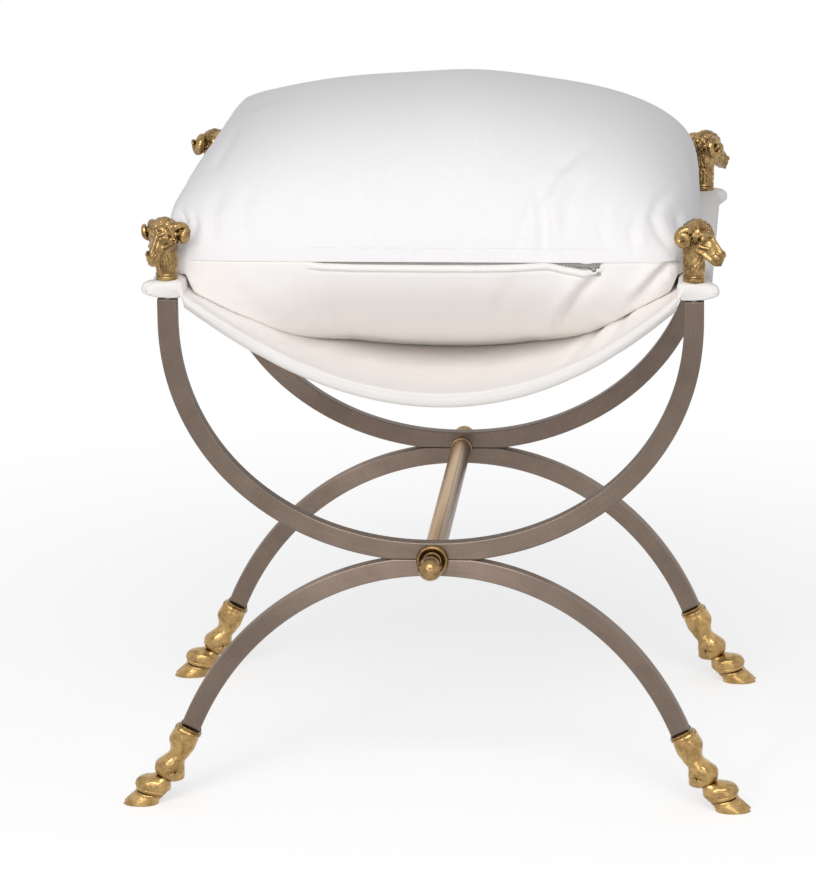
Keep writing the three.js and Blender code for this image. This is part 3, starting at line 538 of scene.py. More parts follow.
def fitting(name, node_name, profile, material, side, base_y, outward=1, well=False):
    """A turned fitting on the stretcher's axis; its coves are marked as hollows, and so is a ring's well, for
    patina and painted shade.
    """
    points, faces = turned(profile)
    before, after = np.roll(profile, 1, 0), np.roll(profile, -1, 0)
    turn, bend = after - before, after + before - 2 * profile
    hollow = np.clip((bend[:, 0] * turn[:, 1] - bend[:, 1] * turn[:, 0]) * 6, 0, 1)
    hollow = np.clip((hollow + np.roll(hollow, 1) + np.roll(hollow, -1)) / 2, 0, 1)
    if well:
        # The ring's well is marked as wholly hollow, for patina and painted shade
        hollow[(profile[:, 1] < WELL_DEPTH) & (profile[:, 0] < WELL_RADIUS)] = 1
    points[:, 1] = side * (base_y + outward * points[:, 1])
    points[:, 2] += JOINT_Z
    marks = {"patina_and_shade": np.tile(hollow, len(points) // len(profile))}
    make(name, points, faces, "frame", material, [node_name], marks=marks)


def knob_profile():
    """Base, cove and ball; the ball stands on a short neck."""
    centre = BAR_FACE + BALL_OUT - KNOB_FOOT
    corners = [
        [ROD_RADIUS, 13, 0], [ROD_RADIUS, 0, 0],
        [7.8, 0, 0.2], [8.0, 1.3, 0.5], [6.6, 2.6, 0.9], [6.0, 4.6, 1.0],
        [6.2, 6.2, 0.3], [6.1, 7.0, 0.3], [NECK_RADIUS, 8.2, 0.5], [NECK_RADIUS, 13.5, 0],
    ]
    angles = np.linspace(math.asin(NECK_RADIUS / BALL_RADIUS), math.pi, 44)
    ball = np.stack([np.maximum(0, BALL_RADIUS * np.sin(angles)), centre - BALL_RADIUS * np.cos(angles)], 1)
    return np.concatenate([rounded(corners)[:-1], ball, [[0, 13]]])


RING = rounded([
    [ROD_RADIUS, 0, 0], [11.8, 0, 0.3], [13.1, 1.2, 1.2], [13.1, 3.4, 1.6], [11.6, 5.2, 1.3],
    [10.0, 4.6, 0.9],
    [9.3, 3.2, 0.6], [9.1, 2.0, 0.3], [ROD_RADIUS, 2.0, 0],
])
COLLAR = rounded([
    [ROD_RADIUS, 0, 0], [9.7, 0, 0.5], [9.8, 1.6, 0.6], [9.2, 2.9, 0.5], [8.2, 3, 0.1],
    [6.75, 3, 0], [6.75, 9, 0.3],
    [ROD_RADIUS, 9, 0],
])
TUBE = rounded([
    [TUBE_BORE, -TUBE_HALF, 0.2], [TUBE_RADIUS, -TUBE_HALF, 0.4], [TUBE_RADIUS, TUBE_HALF, 0.4],
    [TUBE_BORE, TUBE_HALF, 0.2],
])
for end, side in ENDS:
    fitting(f"joint_ring_{end}", f"knob_ring_{end}", RING, TURNED_BRASS, side, RING_FACE, well=True)
    fitting(f"ball_finial_{end}", f"ball_knob_{end}", knob_profile(), TURNED_BRASS, side, KNOB_FOOT)
    collar_y = BAR_INNER - SEAT_GAP
    fitting(f"tube_end_{end}", f"tube_collar_{end}", COLLAR, SATIN_BRASS, side, collar_y, -1)
fitting("stretcher", "stretcher_tube", TUBE, TUBE_BRASS, 1, 0)


# Carving tools
def blend(a, b, k):
    """Smooth union of two distance fields."""
    h = np.clip(0.5 + 0.5 * (b - a) / k, 0, 1)
    return b + (a - b) * h - k * h * (1 - h)


def carve(a, b, k):
    """Smooth subtraction of b from a."""
    return -blend(-a, b, k)


def ellipsoid(p, centre, radii, tilt=0.0):
    """Distance to an ellipsoid whose long axis is tilted down from +X by tilt."""
    x, y, z = p[0] - centre[0], p[1] - centre[1], p[2] - centre[2]
    c, s = math.cos(tilt), math.sin(tilt)
    x, z = x * c - z * s, x * s + z * c
    a = np.sqrt((x / radii[0]) ** 2 + (y / radii[1]) ** 2 + (z / radii[2]) ** 2)
    b = np.sqrt((x / radii[0] ** 2) ** 2 + (y / radii[1] ** 2) ** 2 + (z / radii[2] ** 2) ** 2)
    return a * (a - 1) / np.maximum(b, 1e-6)


def capsule(p, start, end, r0, r1):
    """Distance to a rod with round ends whose radius runs from r0 to r1."""
    start, end = np.array(start, float), np.array(end, float)
    along = end - start
    rel = [p[i] - start[i] for i in range(3)]
    t = np.clip(sum(rel[i] * along[i] for i in range(3)) / along.dot(along), 0, 1)
    return np.sqrt(sum((rel[i] - t * along[i]) ** 2 for i in range(3))) - (r0 + (r1 - r0) * t)


def surface_nets(field, low, step):
    """Points and quads of the surface where the field is zero."""
    cells = np.array(field.shape) - 1
    total = np.zeros((int(np.prod(cells)), 3))
    count = np.zeros(int(np.prod(cells)))
    quads = []
    for axis in range(3):
        u, v = (axis + 1) % 3, (axis + 2) % 3
        lower, upper = [slice(None)] * 3, [slice(None)] * 3
        lower[axis], upper[axis] = slice(0, -1), slice(1, None)
        f0, f1 = field[tuple(lower)], field[tuple(upper)]
        place = np.argwhere((f0 < 0) != (f1 < 0))
        inner = (place[:, u] > 0) & (place[:, v] > 0) & (place[:, u] < cells[u]) & (place[:, v] < cells[v])
        place = place[inner]
        a, b = f0[tuple(place.T)], f1[tuple(place.T)]
        point = place.astype(float)
        point[:, axis] += a / (a - b)
        ring = []
        for du, dv in ((0, 0), (1, 0), (1, 1), (0, 1)):
            cell = place.copy()
            cell[:, u] -= du
            cell[:, v] -= dv
            flat = np.ravel_multi_index(cell.T, cells)
            ring.append(flat)
            count += np.bincount(flat, minlength=len(count))
            for k in range(3):
                total[:, k] += np.bincount(flat, point[:, k], minlength=len(count))
        ring = np.stack(ring, 1)
        ring[a >= 0] = ring[a >= 0][:, ::-1]
        quads.append(ring)
    used = np.flatnonzero(count)
    number = np.zeros(len(count), int)
    number[used] = np.arange(len(used))
    points = total[used] / count[used][:, None] * step + np.array(low)
    return points, number[np.concatenate(quads)]


def hollows(points, quads, rounds, gain):
    """How deep each point lies in a hollow, from 0 to 1."""
    points = np.asarray(points, float)
    normal = np.cross(points[quads[:, 2]] - points[quads[:, 0]], points[quads[:, 3]] - points[quads[:, 1]])
    normals = np.zeros_like(points)
    for k in range(4):
        for c in range(3):
            normals[:, c] += np.bincount(quads[:, k], normal[:, c], minlength=len(points))
    edges = np.concatenate([quads[:, [k, (k + 1) % 4]] for k in range(4)])
    edges = np.concatenate([edges, edges[:, ::-1]])
    degree = np.bincount(edges[:, 0], minlength=len(points))
    smooth = points
    for _ in range(rounds):
        smooth = np.stack([
            np.bincount(edges[:, 0], smooth[edges[:, 1], c], minlength=len(points)) / degree for c in range(3)
        ], 1)
    return np.clip(((smooth - points) * unit(normals)).sum(1) * gain, 0, 1)


def eased(table, times):
    """Smooth interpolation of rows (Catmull-Rom) at fractional row numbers."""
    table, times = np.asarray(table, float), np.asarray(times)
    last = len(table) - 1
    k = np.minimum(np.floor(times).astype(int), last - 1)
    f = (times - k).reshape(-1, *([1] * (table.ndim - 1)))
    p0, p1, p2, p3 = (table[np.clip(k + offset, 0, last)] for offset in (-1, 0, 1, 2))
    square = (2 * p0 - 5 * p1 + 4 * p2 - p3) * f ** 2
    cube = (3 * p1 - p0 - 3 * p2 + p3) * f ** 3
    return 0.5 * (2 * p1 + (p2 - p0) * f + square + cube)


# Hooves
# Rows from the mouth of the socket down: toe and heel as [x, z], and half the depth, as shares of the height
HOOF_ROWS = [
    ([0.122, 1.02], [-0.1, 0.903], 0.138), ([0.158, 0.998], [-0.1, 0.874], 0.15),
    ([0.212, 0.94], [-0.084, 0.842], 0.16), ([0.276, 0.842], [-0.06, 0.78], 0.168),
    ([0.272, 0.72], [-0.018, 0.69], 0.152), ([0.3, 0.64], [0.036, 0.61], 0.136),
    ([0.434, 0.535], [0.098, 0.53], 0.158), ([0.464, 0.45], [0.108, 0.4], 0.165),
    ([0.442, 0.385], [0.118, 0.315], 0.15), ([0.4, 0.36], [0.19, 0.282], 0.115),
    ([0.45, 0.365], [0.262, 0.275], 0.115), ([0.635, 0.335], [0.275, 0.23], 0.16),
    ([0.702, 0.262], [0.283, 0.168], 0.174), ([0.69, 0.198], [0.335, 0.128], 0.167),
    ([0.675, 0.182], [0.36, 0.108], 0.156), ([0.764, 0.1], [0.4, 0.055], 0.174),
    ([0.852, 0.016], [0.428, 0.014], 0.182), ([0.846, 0], [0.424, 0], 0.18),
]
# Bands round the hoof as [row, height, width in rows], and dark lines round it in the same form: patina and
# painted shade in its hollows
HOOF_BANDS = [
    (0.82, -0.55, 0.2), (1.5, 0.75, 0.38), (12.45, -0.4, 0.12), (13.2, 0.45, 0.3), (13.95, -0.75, 0.22),
    (14.4, 0.3, 0.2),
]
HOOF_LINES = [(13.95, 0.8, 0.3), (0.82, 0.7, 0.25), (9.4, 0.55, 0.7)]
# Pits in its sides as [x, z, depth, width], and the groove behind the tendon as heights and places along X
HOOF_PITS = [(13.6, 29.2, 1.5, 1.35), (17.0, 28.6, 1.1, 1.0), (18.6, 33.0, 0.5, 1.0)]
TENDON_Z, TENDON_X = [24, 30, 38, 46, 56], [12.5, 11.0, 8.6, 5.2, 3.6]
HOOF_SIDES = 112


def uneven(points, wave, seed):
    """Smooth casting unevenness between about -1 and 1."""
    rng = np.random.default_rng(seed)
    total = np.zeros(points.shape[:-1])
    for _ in range(10):
        way = rng.normal(size=3)
        way *= 2 * math.pi / wave / np.linalg.norm(way) * rng.uniform(0.7, 1.4)
        total += np.sin(points @ way + rng.uniform(0, 6.28))
    return total / 4.0


def leg_x(z):
    """How far the leg's centre line is from the middle of the stool at a height."""
    share = ((z - LOWER_Z) / LOWER["rise"]) ** LOWER["roundness"]
    return LOWER["half_width"] * (1 - share) ** (1 / LOWER["roundness"])


HOOF_X = leg_x(HOOF_HEIGHT)


def leg_centre(z):
    """Centre line of the leg in the hoof's own frame, with the direction across the bar."""
    x, power = leg_x(z), LOWER["roundness"] - 1
    across = np.array([
        (x / LOWER["half_width"]) ** power / LOWER["half_width"],
        ((z - LOWER_Z) / LOWER["rise"]) ** power / LOWER["rise"],
    ])
    return np.array([x - HOOF_X, z]), unit(across)


def socket_rings(angles):
    """Rings of the socket for the leg, from its floor to the lip."""
    rings = []
    floor = HOOF_LIP - SOCKET
    for z in (floor, floor + 0.2, 60, 64, 66.5):
        centre, across = leg_centre(z)
        ring = centre + across * (8.5 * bent(np.cos(angles), 0.3))[:, None]
        rings.append(np.stack([ring[:, 0], 6.25 * bent(np.sin(angles), 0.3), ring[:, 1]], 1))
    return np.array(rings)


def hoof_rings(times, angles):
    """Rings of the casting before its relief, with the cleft at the toe."""
    rows = eased([[*toe, *heel, depth] for toe, heel, depth in HOOF_ROWS], times)
    notch = bell(np.minimum(angles, 2 * math.pi - angles), 0.17)
    rings = []
    for t, row in zip(times, rows * HOOF_HEIGHT):
        toe, heel, depth = row[:2], row[2:4], row[4]
        middle, half = (toe + heel) / 2, (toe - heel) / 2
        power = 0.9 - 0.4 * max(0.0, 1 - t / 3)
        cleft = max(0.0, min(1.0, (t - 13.4) / 2.2)) * 2.6
        ring = middle + half * bent(np.cos(angles), power)[:, None] - unit(half) * (notch * cleft)[:, None]
        rings.append(np.stack([ring[:, 0], depth * bent(np.sin(angles), power), ring[:, 1]], 1))
    return np.array(rings)


def hoof_mesh():
    """Points, faces and hollow marks of a hoof that points along +X, with the socket for the leg."""
    times = np.linspace(0, len(HOOF_ROWS) - 1, 200)
    angles = np.arange(HOOF_SIDES) / HOOF_SIDES * 2 * math.pi
    hole, rings = socket_rings(angles), hoof_rings(times, angles)
    along, about = np.gradient(rings, axis=0), np.roll(rings, -1, 1) - np.roll(rings, 1, 1)
    normal = unit(np.cross(about, along))
    normal *= np.sign((normal * (rings - rings.mean(axis=1, keepdims=True))).sum(-1).mean())
    t = np.repeat(times[:, None], HOOF_SIDES, 1)
    x, y, z = np.moveaxis(rings, -1, 0)

    def bands(table):
        return sum(height * bell(t - row, width) for row, height, width in table)
    sole = np.clip((17 - t) / 2, 0, 1)
    move = bands([(0.35, 0.45, 0.22)]) * (1 - 0.6 * np.clip(-np.cos(angles), 0, 1)) + bands(HOOF_BANDS)
    move += uneven(rings, 3.0, 3) * bell(t - 1.6, 0.6) * 0.24
    move += uneven(rings, 8.0, 5) * 0.16 * sole * np.where(t > 14, 0.4, 1)
    move += uneven(rings, 3.4, 8) * 0.035 * sole
    flank = np.abs(y) > 3
    pits = sum(size * bell(np.hypot(x - px, z - pz), wide) for px, pz, size, wide in HOOF_PITS) * flank
    groove = 0.5 * bell(x - np.interp(z, TENDON_Z, TENDON_X), 1.1) * bell(z - 42, 12, 4) * flank
    rings = rings + normal * (move - pits - groove)[..., None]
    rings[-8:, :, 2] = np.maximum(rings[-8:, :, 2], 0)
    rim = (hole[-1] + rings[0]) / 2 + [0, 0, 0.5]
    points, faces = skin(np.concatenate([hole, rim[None], rings]))
    quads = np.array([face for face in faces if len(face) == 4])
    # Patina and painted shade: pits, the groove behind the tendon, the dark lines and the inside of the
    # socket are marked dark
    marked = np.clip(pits * 0.9 + groove * 0.5 + bands(HOOF_LINES), 0, 1)
    marked = np.concatenate([np.ones(HOOF_SIDES * len(hole)), np.full(HOOF_SIDES, 0.4), marked.ravel()])
    return points, faces, np.maximum(hollows(points, quads, 8, 1.6), marked)


hoof_points, hoof_faces, hoof_hollow = hoof_mesh()
for end, side_y in ENDS:
    for hand, side_x in HANDS:
        points = hoof_points * [side_x, 1, 1] + [side_x * HOOF_X, side_y * FRAME_Y, 0]
        make(
            f"hoof_cast_{end}_{hand}", points, hoof_faces, "frame", CAST_BRASS, [f"hoof_{end}_{hand}"],
            marks={"patina_and_shade": hoof_hollow},
        )


# Ram's heads
# The way that each head faces, in degrees from +X
HEADS = {"front_left": -112, "front_right": -27, "back_right": 43, "back_left": 108}
SKULL, SKULL_RADII = (2.6, 0, 37.6), (13.0, 12.9, 12.8)
HEAD_RAISE = 1.1
# Centre line of the left horn from its root to its tip, with its radius
HORN = [
    (4.0, 8.2, 42.4, 3.3), (0.6, 11.6, 43.0, 3.9), (-3.6, 13.8, 41.4, 4.0), (-5.9, 14.8, 37.6, 3.8),
    (-4.7, 15.4, 33.7, 3.5), (-1.1, 16.2, 32.0, 3.2), (2.5, 17.0, 33.8, 2.9), (3.6, 17.8, 37.3, 2.5),
    (2.1, 18.8, 40.2, 2.1), (-0.5, 19.8, 40.6, 1.7), (-2.2, 20.4, 39.0, 1.3),
]
HORN_HEART, HORN_HEART_RADII = (-1.2, 14.4, 37.4), (4.6, 3.4, 4.6)
HORN_RIDGE = 2.1
# Lines of the face
NOSE = [(13.6, 0, 39.6), (19.0, 0, 32.6), (24.6, 0, 25.4)]
BROW = [(6.0, 9.6, 39.2), (9.6, 8.6, 40.0), (13.4, 5.6, 39.8), (15.8, 2.6, 38.0)]
CHEEK = [(5.4, 9.2, 33.4), (8.2, 8.9, 30.8), (12.2, 7.7, 29.4), (16.4, 6.2, 28.6)]
JAW = [(6.4, 7.8, 26.4), (12.0, 6.8, 23.0), (17.2, 5.4, 19.4)]
UPPER_LID = [(8.2, 8.8, 35.7), (10.0, 9.0, 37.4), (12.6, 7.6, 37.2), (14.0, 6.0, 35.6)]
LOWER_LID = [(8.2, 8.8, 35.7), (10.2, 8.8, 33.8), (12.6, 7.5, 33.8), (14.0, 6.0, 35.6)]
NOSTRIL_RIM = [(22.4, 4.6, 25.4), (25.0, 4.3, 24.0), (26.4, 2.8, 21.8)]
NOSTRIL = [(23.2, 5.7, 23.6), (25.4, 4.9, 22.6), (26.9, 3.4, 20.8)]
MOUTH = [(26.4, 0, 17.6), (24.2, 4.6, 17.6), (19.6, 6.3, 20.6), (15.4, 7.0, 23.4)]
LIP = [(23.6, 0, 15.9), (21.4, 3.6, 16.2), (17.4, 4.9, 18.4)]
# Heights and radii of the neck
NECK_Z, NECK_RADII = [0, 6, 12, 20, 27, 34], [8.3, 8.5, 8.6, 8.6, 9.0, 9.3]


def strand(p, line, first, last=None):
    """Distance to a bent rod whose radius runs from the first to the last."""
    radii = np.linspace(first, first if last is None else last, len(line))
    parts = [capsule(p, line[k], line[k + 1], radii[k], radii[k + 1]) for k in range(len(line) - 1)]
    return np.minimum.reduce(parts)


def curl_places(count, centre, radii):
    """Places of the wool curls over the back and top of the skull, with two directions along the surface."""
    places = []
    golden = math.pi * (3 - math.sqrt(5))
    for k in range(count):
        z = 1 - (k + 0.5) / count * 1.75
        side = math.sqrt(max(0.0, 1 - z * z))
        way = np.array([side * math.cos(golden * k + 0.6), side * math.sin(golden * k + 0.6), z])
        if way[1] < -0.12 or (way[0] > 0.42 and way[2] < 0.25):
            continue
        out = unit(way / np.array(radii))
        first = unit(np.cross(out, [0.3, 0.1, 1.0]))
        places.append((np.array(centre) + way * radii, first, np.cross(out, first), k % 2 * 2 - 1))
    return places


def neck_field(p):
    """The neck with its locks of fleece over two base mouldings."""
    x, y, z = p
    radius, turn = np.sqrt(x * x + y * y), np.arctan2(y, x)
    wave = turn * 7 + 1.5 * np.sin(z * 0.36 + turn) + 0.01 * z * z * np.sin(turn * 2)
    lock = 0.5 * np.abs(np.sin(wave)) ** 0.8 + 0.16 * np.sin(turn * 19 - 1.4 * np.sin(z * 0.55) + z * 0.2)
    lock = lock * np.clip((z - 5.5) / 4, 0, 1)
    neck = np.maximum(np.maximum(radius - np.interp(z, NECK_Z, NECK_RADII) - lock, z - NECK_Z[-1]), -z)
    foot = np.maximum(radius - 8.9, np.abs(z - 1.6) - 1.6)
    bead = np.sqrt(np.maximum(radius - 8.2, 0) ** 2 + (z - 4.7) ** 2) - 0.95
    return blend(blend(neck, foot, 0.4), bead, 0.4)


def ram_head_field(p):
    """Distances to the head without wool and horns, and to its skull."""
    # Skull, face and muzzle
    skull = ellipsoid(p, SKULL, SKULL_RADII)
    d = blend(neck_field(p), skull, 1.8)
    d = blend(d, ellipsoid(p, (4.6, 0, 28.4), (9.2, 8.8, 8.6), 0.3), 2.0)
    d = blend(d, ellipsoid(p, (13.0, 0, 30.0), (13.2, 6.5, 7.0), 0.9), 1.8)
    d = blend(d, ellipsoid(p, (21.0, 0, 21.2), (6.2, 5.9, 5.3), 0.95), 1.4)
    # Bridge of the nose, brow, cheek and jaw
    d = blend(d, strand(p, NOSE, 1.9, 1.6), 1.4)
    d = blend(d, strand(p, BROW, 1.1, 1.3), 0.9)
    d = blend(d, strand(p, CHEEK, 0.95, 1.2), 1.5)
    d = blend(d, ellipsoid(p, (12.6, 0, 24.4), (9.0, 6.2, 4.6), 0.7), 2.4)
    d = blend(d, strand(p, JAW, 1.3, 1.5), 2.0)
    # Eye between its lids
    d = carve(d, ellipsoid(p, (12.0, 9.6, 35.6), (2.8, 2.8, 2.8)), 0.8)
    d = blend(d, ellipsoid(p, (11.0, 7.6, 35.6), (2.5, 1.9, 1.6)), 0.25)
    d = blend(d, strand(p, UPPER_LID, 0.6), 0.3)
    d = blend(d, strand(p, LOWER_LID, 0.55), 0.3)
    # Nostrils, the line of the mouth and the lower lip
    d = blend(d, strand(p, NOSTRIL_RIM, 1.0), 0.5)
    d = carve(d, strand(p, NOSTRIL, 0.7), 0.35)
    d = carve(d, strand(p, MOUTH, 0.5), 0.5)
    d = blend(d, strand(p, LIP, 1.4, 1.2), 0.6)
    # Ear below the horn
    ear = ellipsoid(p, (3.4, 11.6, 31.6), (3.9, 1.9, 2.2), 0.35)
    ear = carve(ear, ellipsoid(p, (4.0, 13.5, 31.6), (2.8, 1.1, 1.1), 0.35), 0.4)
    return blend(d, ear, 0.5), skull


def wool(p, field, skull):
    """The field with curls on the skull, only where the surface is near."""
    near = (np.abs(field) < 2.2) & (skull < 2.4) & (p[2] > 28)
    spot = np.stack([axis[near] for axis in p], 1)
    height, cover_share = np.zeros(len(spot)), np.zeros(len(spot))
    for place, first, second, hand in curl_places(66, SKULL, SKULL_RADII):
        rel = spot - place
        a, b = rel @ first, rel @ second
        off = np.sqrt(a * a + b * b + 0.02)
        curl = np.cos(off * 2 * math.pi / 1.75 - hand * np.arctan2(b, a) - 0.6)
        weight = bell(np.linalg.norm(rel, axis=1), 2.35, 4)
        height = np.where(weight > cover_share, weight * (0.8 * curl + 0.6 - 0.09 * off), height)
        cover_share = np.maximum(cover_share, weight)
    x, z = spot[:, 0], spot[:, 2]
    face = np.clip((x - 9.5) / 3, 0, 1) * np.clip((42.5 - z) / 3, 0, 1)
    height *= 1 - 0.55 * np.clip((z - 43.5) / 4, 0, 1)
    out = field.copy()
    out[near] = field[near] - (height - 0.35) * (1 - face) * np.clip((z - 28) / 3, 0, 1)
    return out


def ram_head_mesh(step):
    """Points and quads of a head that faces +X; one half is made and mirrored."""
    low, high = np.array([-16.0, 0.0, -1.0]), np.array([30.0, 25.0, 54.0])
    axes = [np.arange(a, b + step, step) for a, b in zip(low, high)]
    grid = np.meshgrid(*axes, indexing="ij")
    grid[2] = grid[2] - HEAD_RAISE * np.clip((grid[2] - 12) / 12, 0, 1)
    d = wool(grid, *ram_head_field(grid))
    path = eased(HORN, np.linspace(0, len(HORN) - 1, 91))
    ridges = np.abs(np.sin(run_of(path[:, :3]) * math.pi / HORN_RIDGE)) ** 0.6
    thick = path[:, 3] * (1 + 0.14 * ridges - 0.09)
    horn = np.full(d.shape, 99.0)
    for k in range(len(path) - 1):
        horn = np.minimum(horn, capsule(grid, path[k, :3], path[k + 1, :3], thick[k], thick[k + 1]))
    d = blend(blend(d, ellipsoid(grid, HORN_HEART, HORN_HEART_RADII), 0.4), horn, 0.35)
    low[1] = -axes[1][-1]
    return surface_nets(np.concatenate([d[:, :0:-1], d], 1), low, step)


head_points, head_quads = ram_head_mesh(0.42)
head_hollow = hollows(head_points, head_quads, 8, 3.2)
for corner, facing in HEADS.items():
    side_x, side_y = (1 if "right" in corner else -1), (1 if "back" in corner else -1)
    c, s = math.cos(math.radians(facing)), math.sin(math.radians(facing))
    points = head_points @ np.array([[c, s, 0], [-s, c, 0], [0, 0, 1]])
    points = points + [side_x * POST_X, side_y * FRAME_Y, HEAD_BASE]
    # The head's hollows carry patina and painted shade
    make(
        f"ram_finial_{corner}", points, head_quads, "frame", BRASS, [f"ram_head_{corner}"],
        marks={"patina_and_shade": head_hollow},
    )


# Sewing
STITCH_LENGTH, STITCH_PITCH, STITCH_SINK = 2.3, 3.1, 0.1


def boxes(centres, frames, halves):
    """Small bars with bevelled ends: one for each centre, with the three axes and half sizes given."""
    square = [(-1, -1), (1, -1), (1, 1), (-1, 1)]
    sections = [(-1, 0.5), (-0.72, 1), (0.72, 1), (1, 0.5)]
    block = np.array([(along, y * size, z * size) for along, size in sections for y, z in square])
    quads = [(0, 3, 2, 1), (12, 13, 14, 15)]
    for base in (0, 4, 8):
        quads += [(base + k, base + (k + 1) % 4, base + 4 + (k + 1) % 4, base + 4 + k) for k in range(4)]
    points = [
        np.asarray(centre) + (block * np.asarray(half)) @ np.asarray(axes)
        for centre, axes, half in zip(centres, frames, halves)
    ]
    faces = [[16 * number + k for k in quad] for number in range(len(points)) for quad in quads]
    return np.concatenate(points), faces


def stitches(name, lines, body, thick=0.3):
    """Rows of thread stitches; each line is given with its outward normals."""
    centres, frames = [], []
    for line, normals in lines:
        run = run_of(line)
        marks = np.arange(STITCH_PITCH / 2, run[-1], STITCH_PITCH)
        here = by_length(line, marks)
        way = by_length(line, np.minimum(marks + 0.3, run[-1])) - by_length(line, np.maximum(marks - 0.3, 0))
        out = np.stack([np.interp(marks, run, normals[:, k]) for k in range(3)], 1)
        for centre, forward, up in zip(here, unit(way), out):
            up = unit(up - forward * up.dot(forward))
            centres.append(centre - up * STITCH_SINK)
            frames.append([forward, np.cross(up, forward), up])
    points, faces = boxes(centres, frames, [(STITCH_LENGTH / 2, thick, thick)] * len(centres))
    return make(name, points, faces, body, THREAD, uv=points[:, :2])


def nearest_on(place, line):
    """How far places are from a bent line, on which side (-1 or 1), and at what share of its length."""
    line = np.asarray(line, float)
    best = np.full(place.shape[:-1], 1e9)
    side, share = np.zeros_like(best), np.zeros_like(best)
    run = run_of(line)
    run = run / run[-1]
    for k in range(len(line) - 1):
        along, rel = line[k + 1] - line[k], place - line[k]
        t = np.clip((rel @ along) / along.dot(along), 0, 1)
        off = rel - t[..., None] * along
        distance = np.linalg.norm(off, axis=-1)
        nearer = distance < best
        best = np.where(nearer, distance, best)
        side = np.where(nearer, np.sign(along[0] * off[..., 1] - along[1] * off[..., 0]), side)
        share = np.where(nearer, run[k] + t * (run[k + 1] - run[k]), share)
    return best, side, share


# Sling
SHEET_HANG, SHEET_POINTS = 81.5, 161
SLEEVE_ROUND = 2 / 2.9
HEM_ROW = SLING_HALF - 11.4
# Creases of the sheet: a line in plan as [x, y], the depth and the width
SHEET_CREASES = [
    ([(-150, -178), (-118, -128), (-88, -84)], 2.6, 7), ([(-112, -178), (-84, -112), (-60, -70)], 1.8, 8),
    ([(96, -178), (120, -120), (150, -86)], 2.4, 8), ([(132, -178), (152, -138), (172, -112)], 2.2, 7),
    ([(20, -176), (34, -110), (52, -40)], 1.1, 12), ([(-36, -176), (-28, -120), (-30, -60)], 0.9, 12),
    ([(150, 176), (122, 130), (92, 84)], 2.4, 8), ([(-98, 176), (-120, 128), (-150, 84)], 2.2, 8),
]
# Section of the hem: distance in from its edge, shifts of the upper and lower face, and shrink of the outline
HEM = [
    (16, 0, 0, 1), (13.8, 0, 0, 1), (13.3, 0.25, 0, 1), (12.6, 0.7, 0, 1), (11.9, 0.75, 0, 1),
    (11.4, 0.2, 0, 1),
    (10.9, 0.75, 0, 1), (9.8, 0.85, 0, 1), (8.9, 0.9, -0.3, 1), (8.3, 1.0, -2.5, 1), (7.6, 1.15, -5.2, 1),
    (6.6, 1.4, -7.2, 1), (5.2, 1.6, -8.3, 1), (3.8, 1.6, -8.6, 1), (2.5, 1.4, -8.0, 0.99),
    (1.5, 0.9, -6.6, 0.97),
    (0.7, 0.1, -4.8, 0.93), (0.25, -0.8, -3.2, 0.86), (0, -1.7, -2.2, 0.76),
]
HEM_DROP = 8.6


def sheet_height(x, y):
    """Height of the middle of the hanging sheet."""
    lean = 8 * (1 - (x / SHEET_HALF) ** 2)
    across = np.minimum(1, np.abs((x - lean) / SHEET_HALF))
    hang = SHEET_HANG + 1.5 * (1 - (y / SLING_HALF) ** 2)
    from_sleeve = SHEET_HALF - np.abs(x)
    rise = 9 * bell(from_sleeve - 32, 34) * np.clip(from_sleeve / 18, 0, 1)
    return SHEET_TOP - hang * (1 - across ** 2) + rise * (1 - ease_in(np.abs(y), 128, SLING_HALF))


def crease(x, y, line, depth, width):
    """A valley along a line of the plan with soft ridges beside it."""
    distance, _, share = nearest_on(np.stack([x, y], -1), line)
    s = distance / width
    return depth * np.clip(np.minimum(share, 1 - share) * 4, 0, 1) * (0.6 * bell(s - 1.9, 0.9) - bell(s))


def sheet_line(x, y):
    """Height of the middle of the creased sheet along a line of x at one y."""
    calm = np.clip((SHEET_HALF - np.abs(x)) / 20, 0, 1)
    y = np.full_like(x, y)
    return sheet_height(x, y) + calm * sum(crease(x, y, *fold) for fold in SHEET_CREASES)


def sling_outline(y, over, under, shrink, flare):
    """Outline of the sling at y: sheet underside, right sleeve, sheet top, left sleeve."""
    x = np.sin(math.pi * 0.42 * np.linspace(-1, 1, SHEET_POINTS)) / math.sin(math.pi * 0.42) * SHEET_REACH
    z = sheet_line(x, y)
    turn = np.linspace(-math.pi * 0.86, math.pi * 0.86, 49)
    end = min(1.0, flare / 5.5)
    wide = bent(np.cos(turn), SLEEVE_ROUND - 0.36 * end)
    outer = np.clip(wide, 0, 1)
    sx = wide * (SLEEVE_HALF + 0.4) * np.where(wide > 0, 1 + flare / SLEEVE_HALF, 1)
    sz = bent(np.sin(turn), SLEEVE_ROUND) * (RAIL_THICKNESS / 2 + SEAT_GAP + CANVAS + 0.2)
    below = sz * (1 - 0.5 * end * outer ** 1.5) + 0.8 * end
    above = sz * (1 - 0.12 * end * outer ** 3) + 0.6 * end
    sz = np.where(sz < 0, below, above)
    sag = 0.5 * abs(math.sin(y / 23.0)) * bell(SLING_HALF - abs(y), 60)
    right = np.stack([POST_X + sx * shrink, RAIL_MIDDLE + sz * shrink - np.where(sx > 8, sag, 0)], 1)
    left = right[::-1] * [-1, 1]
    return np.concatenate([np.stack([x, z + under], 1), right, np.stack([x, z + over], 1)[::-1], left])


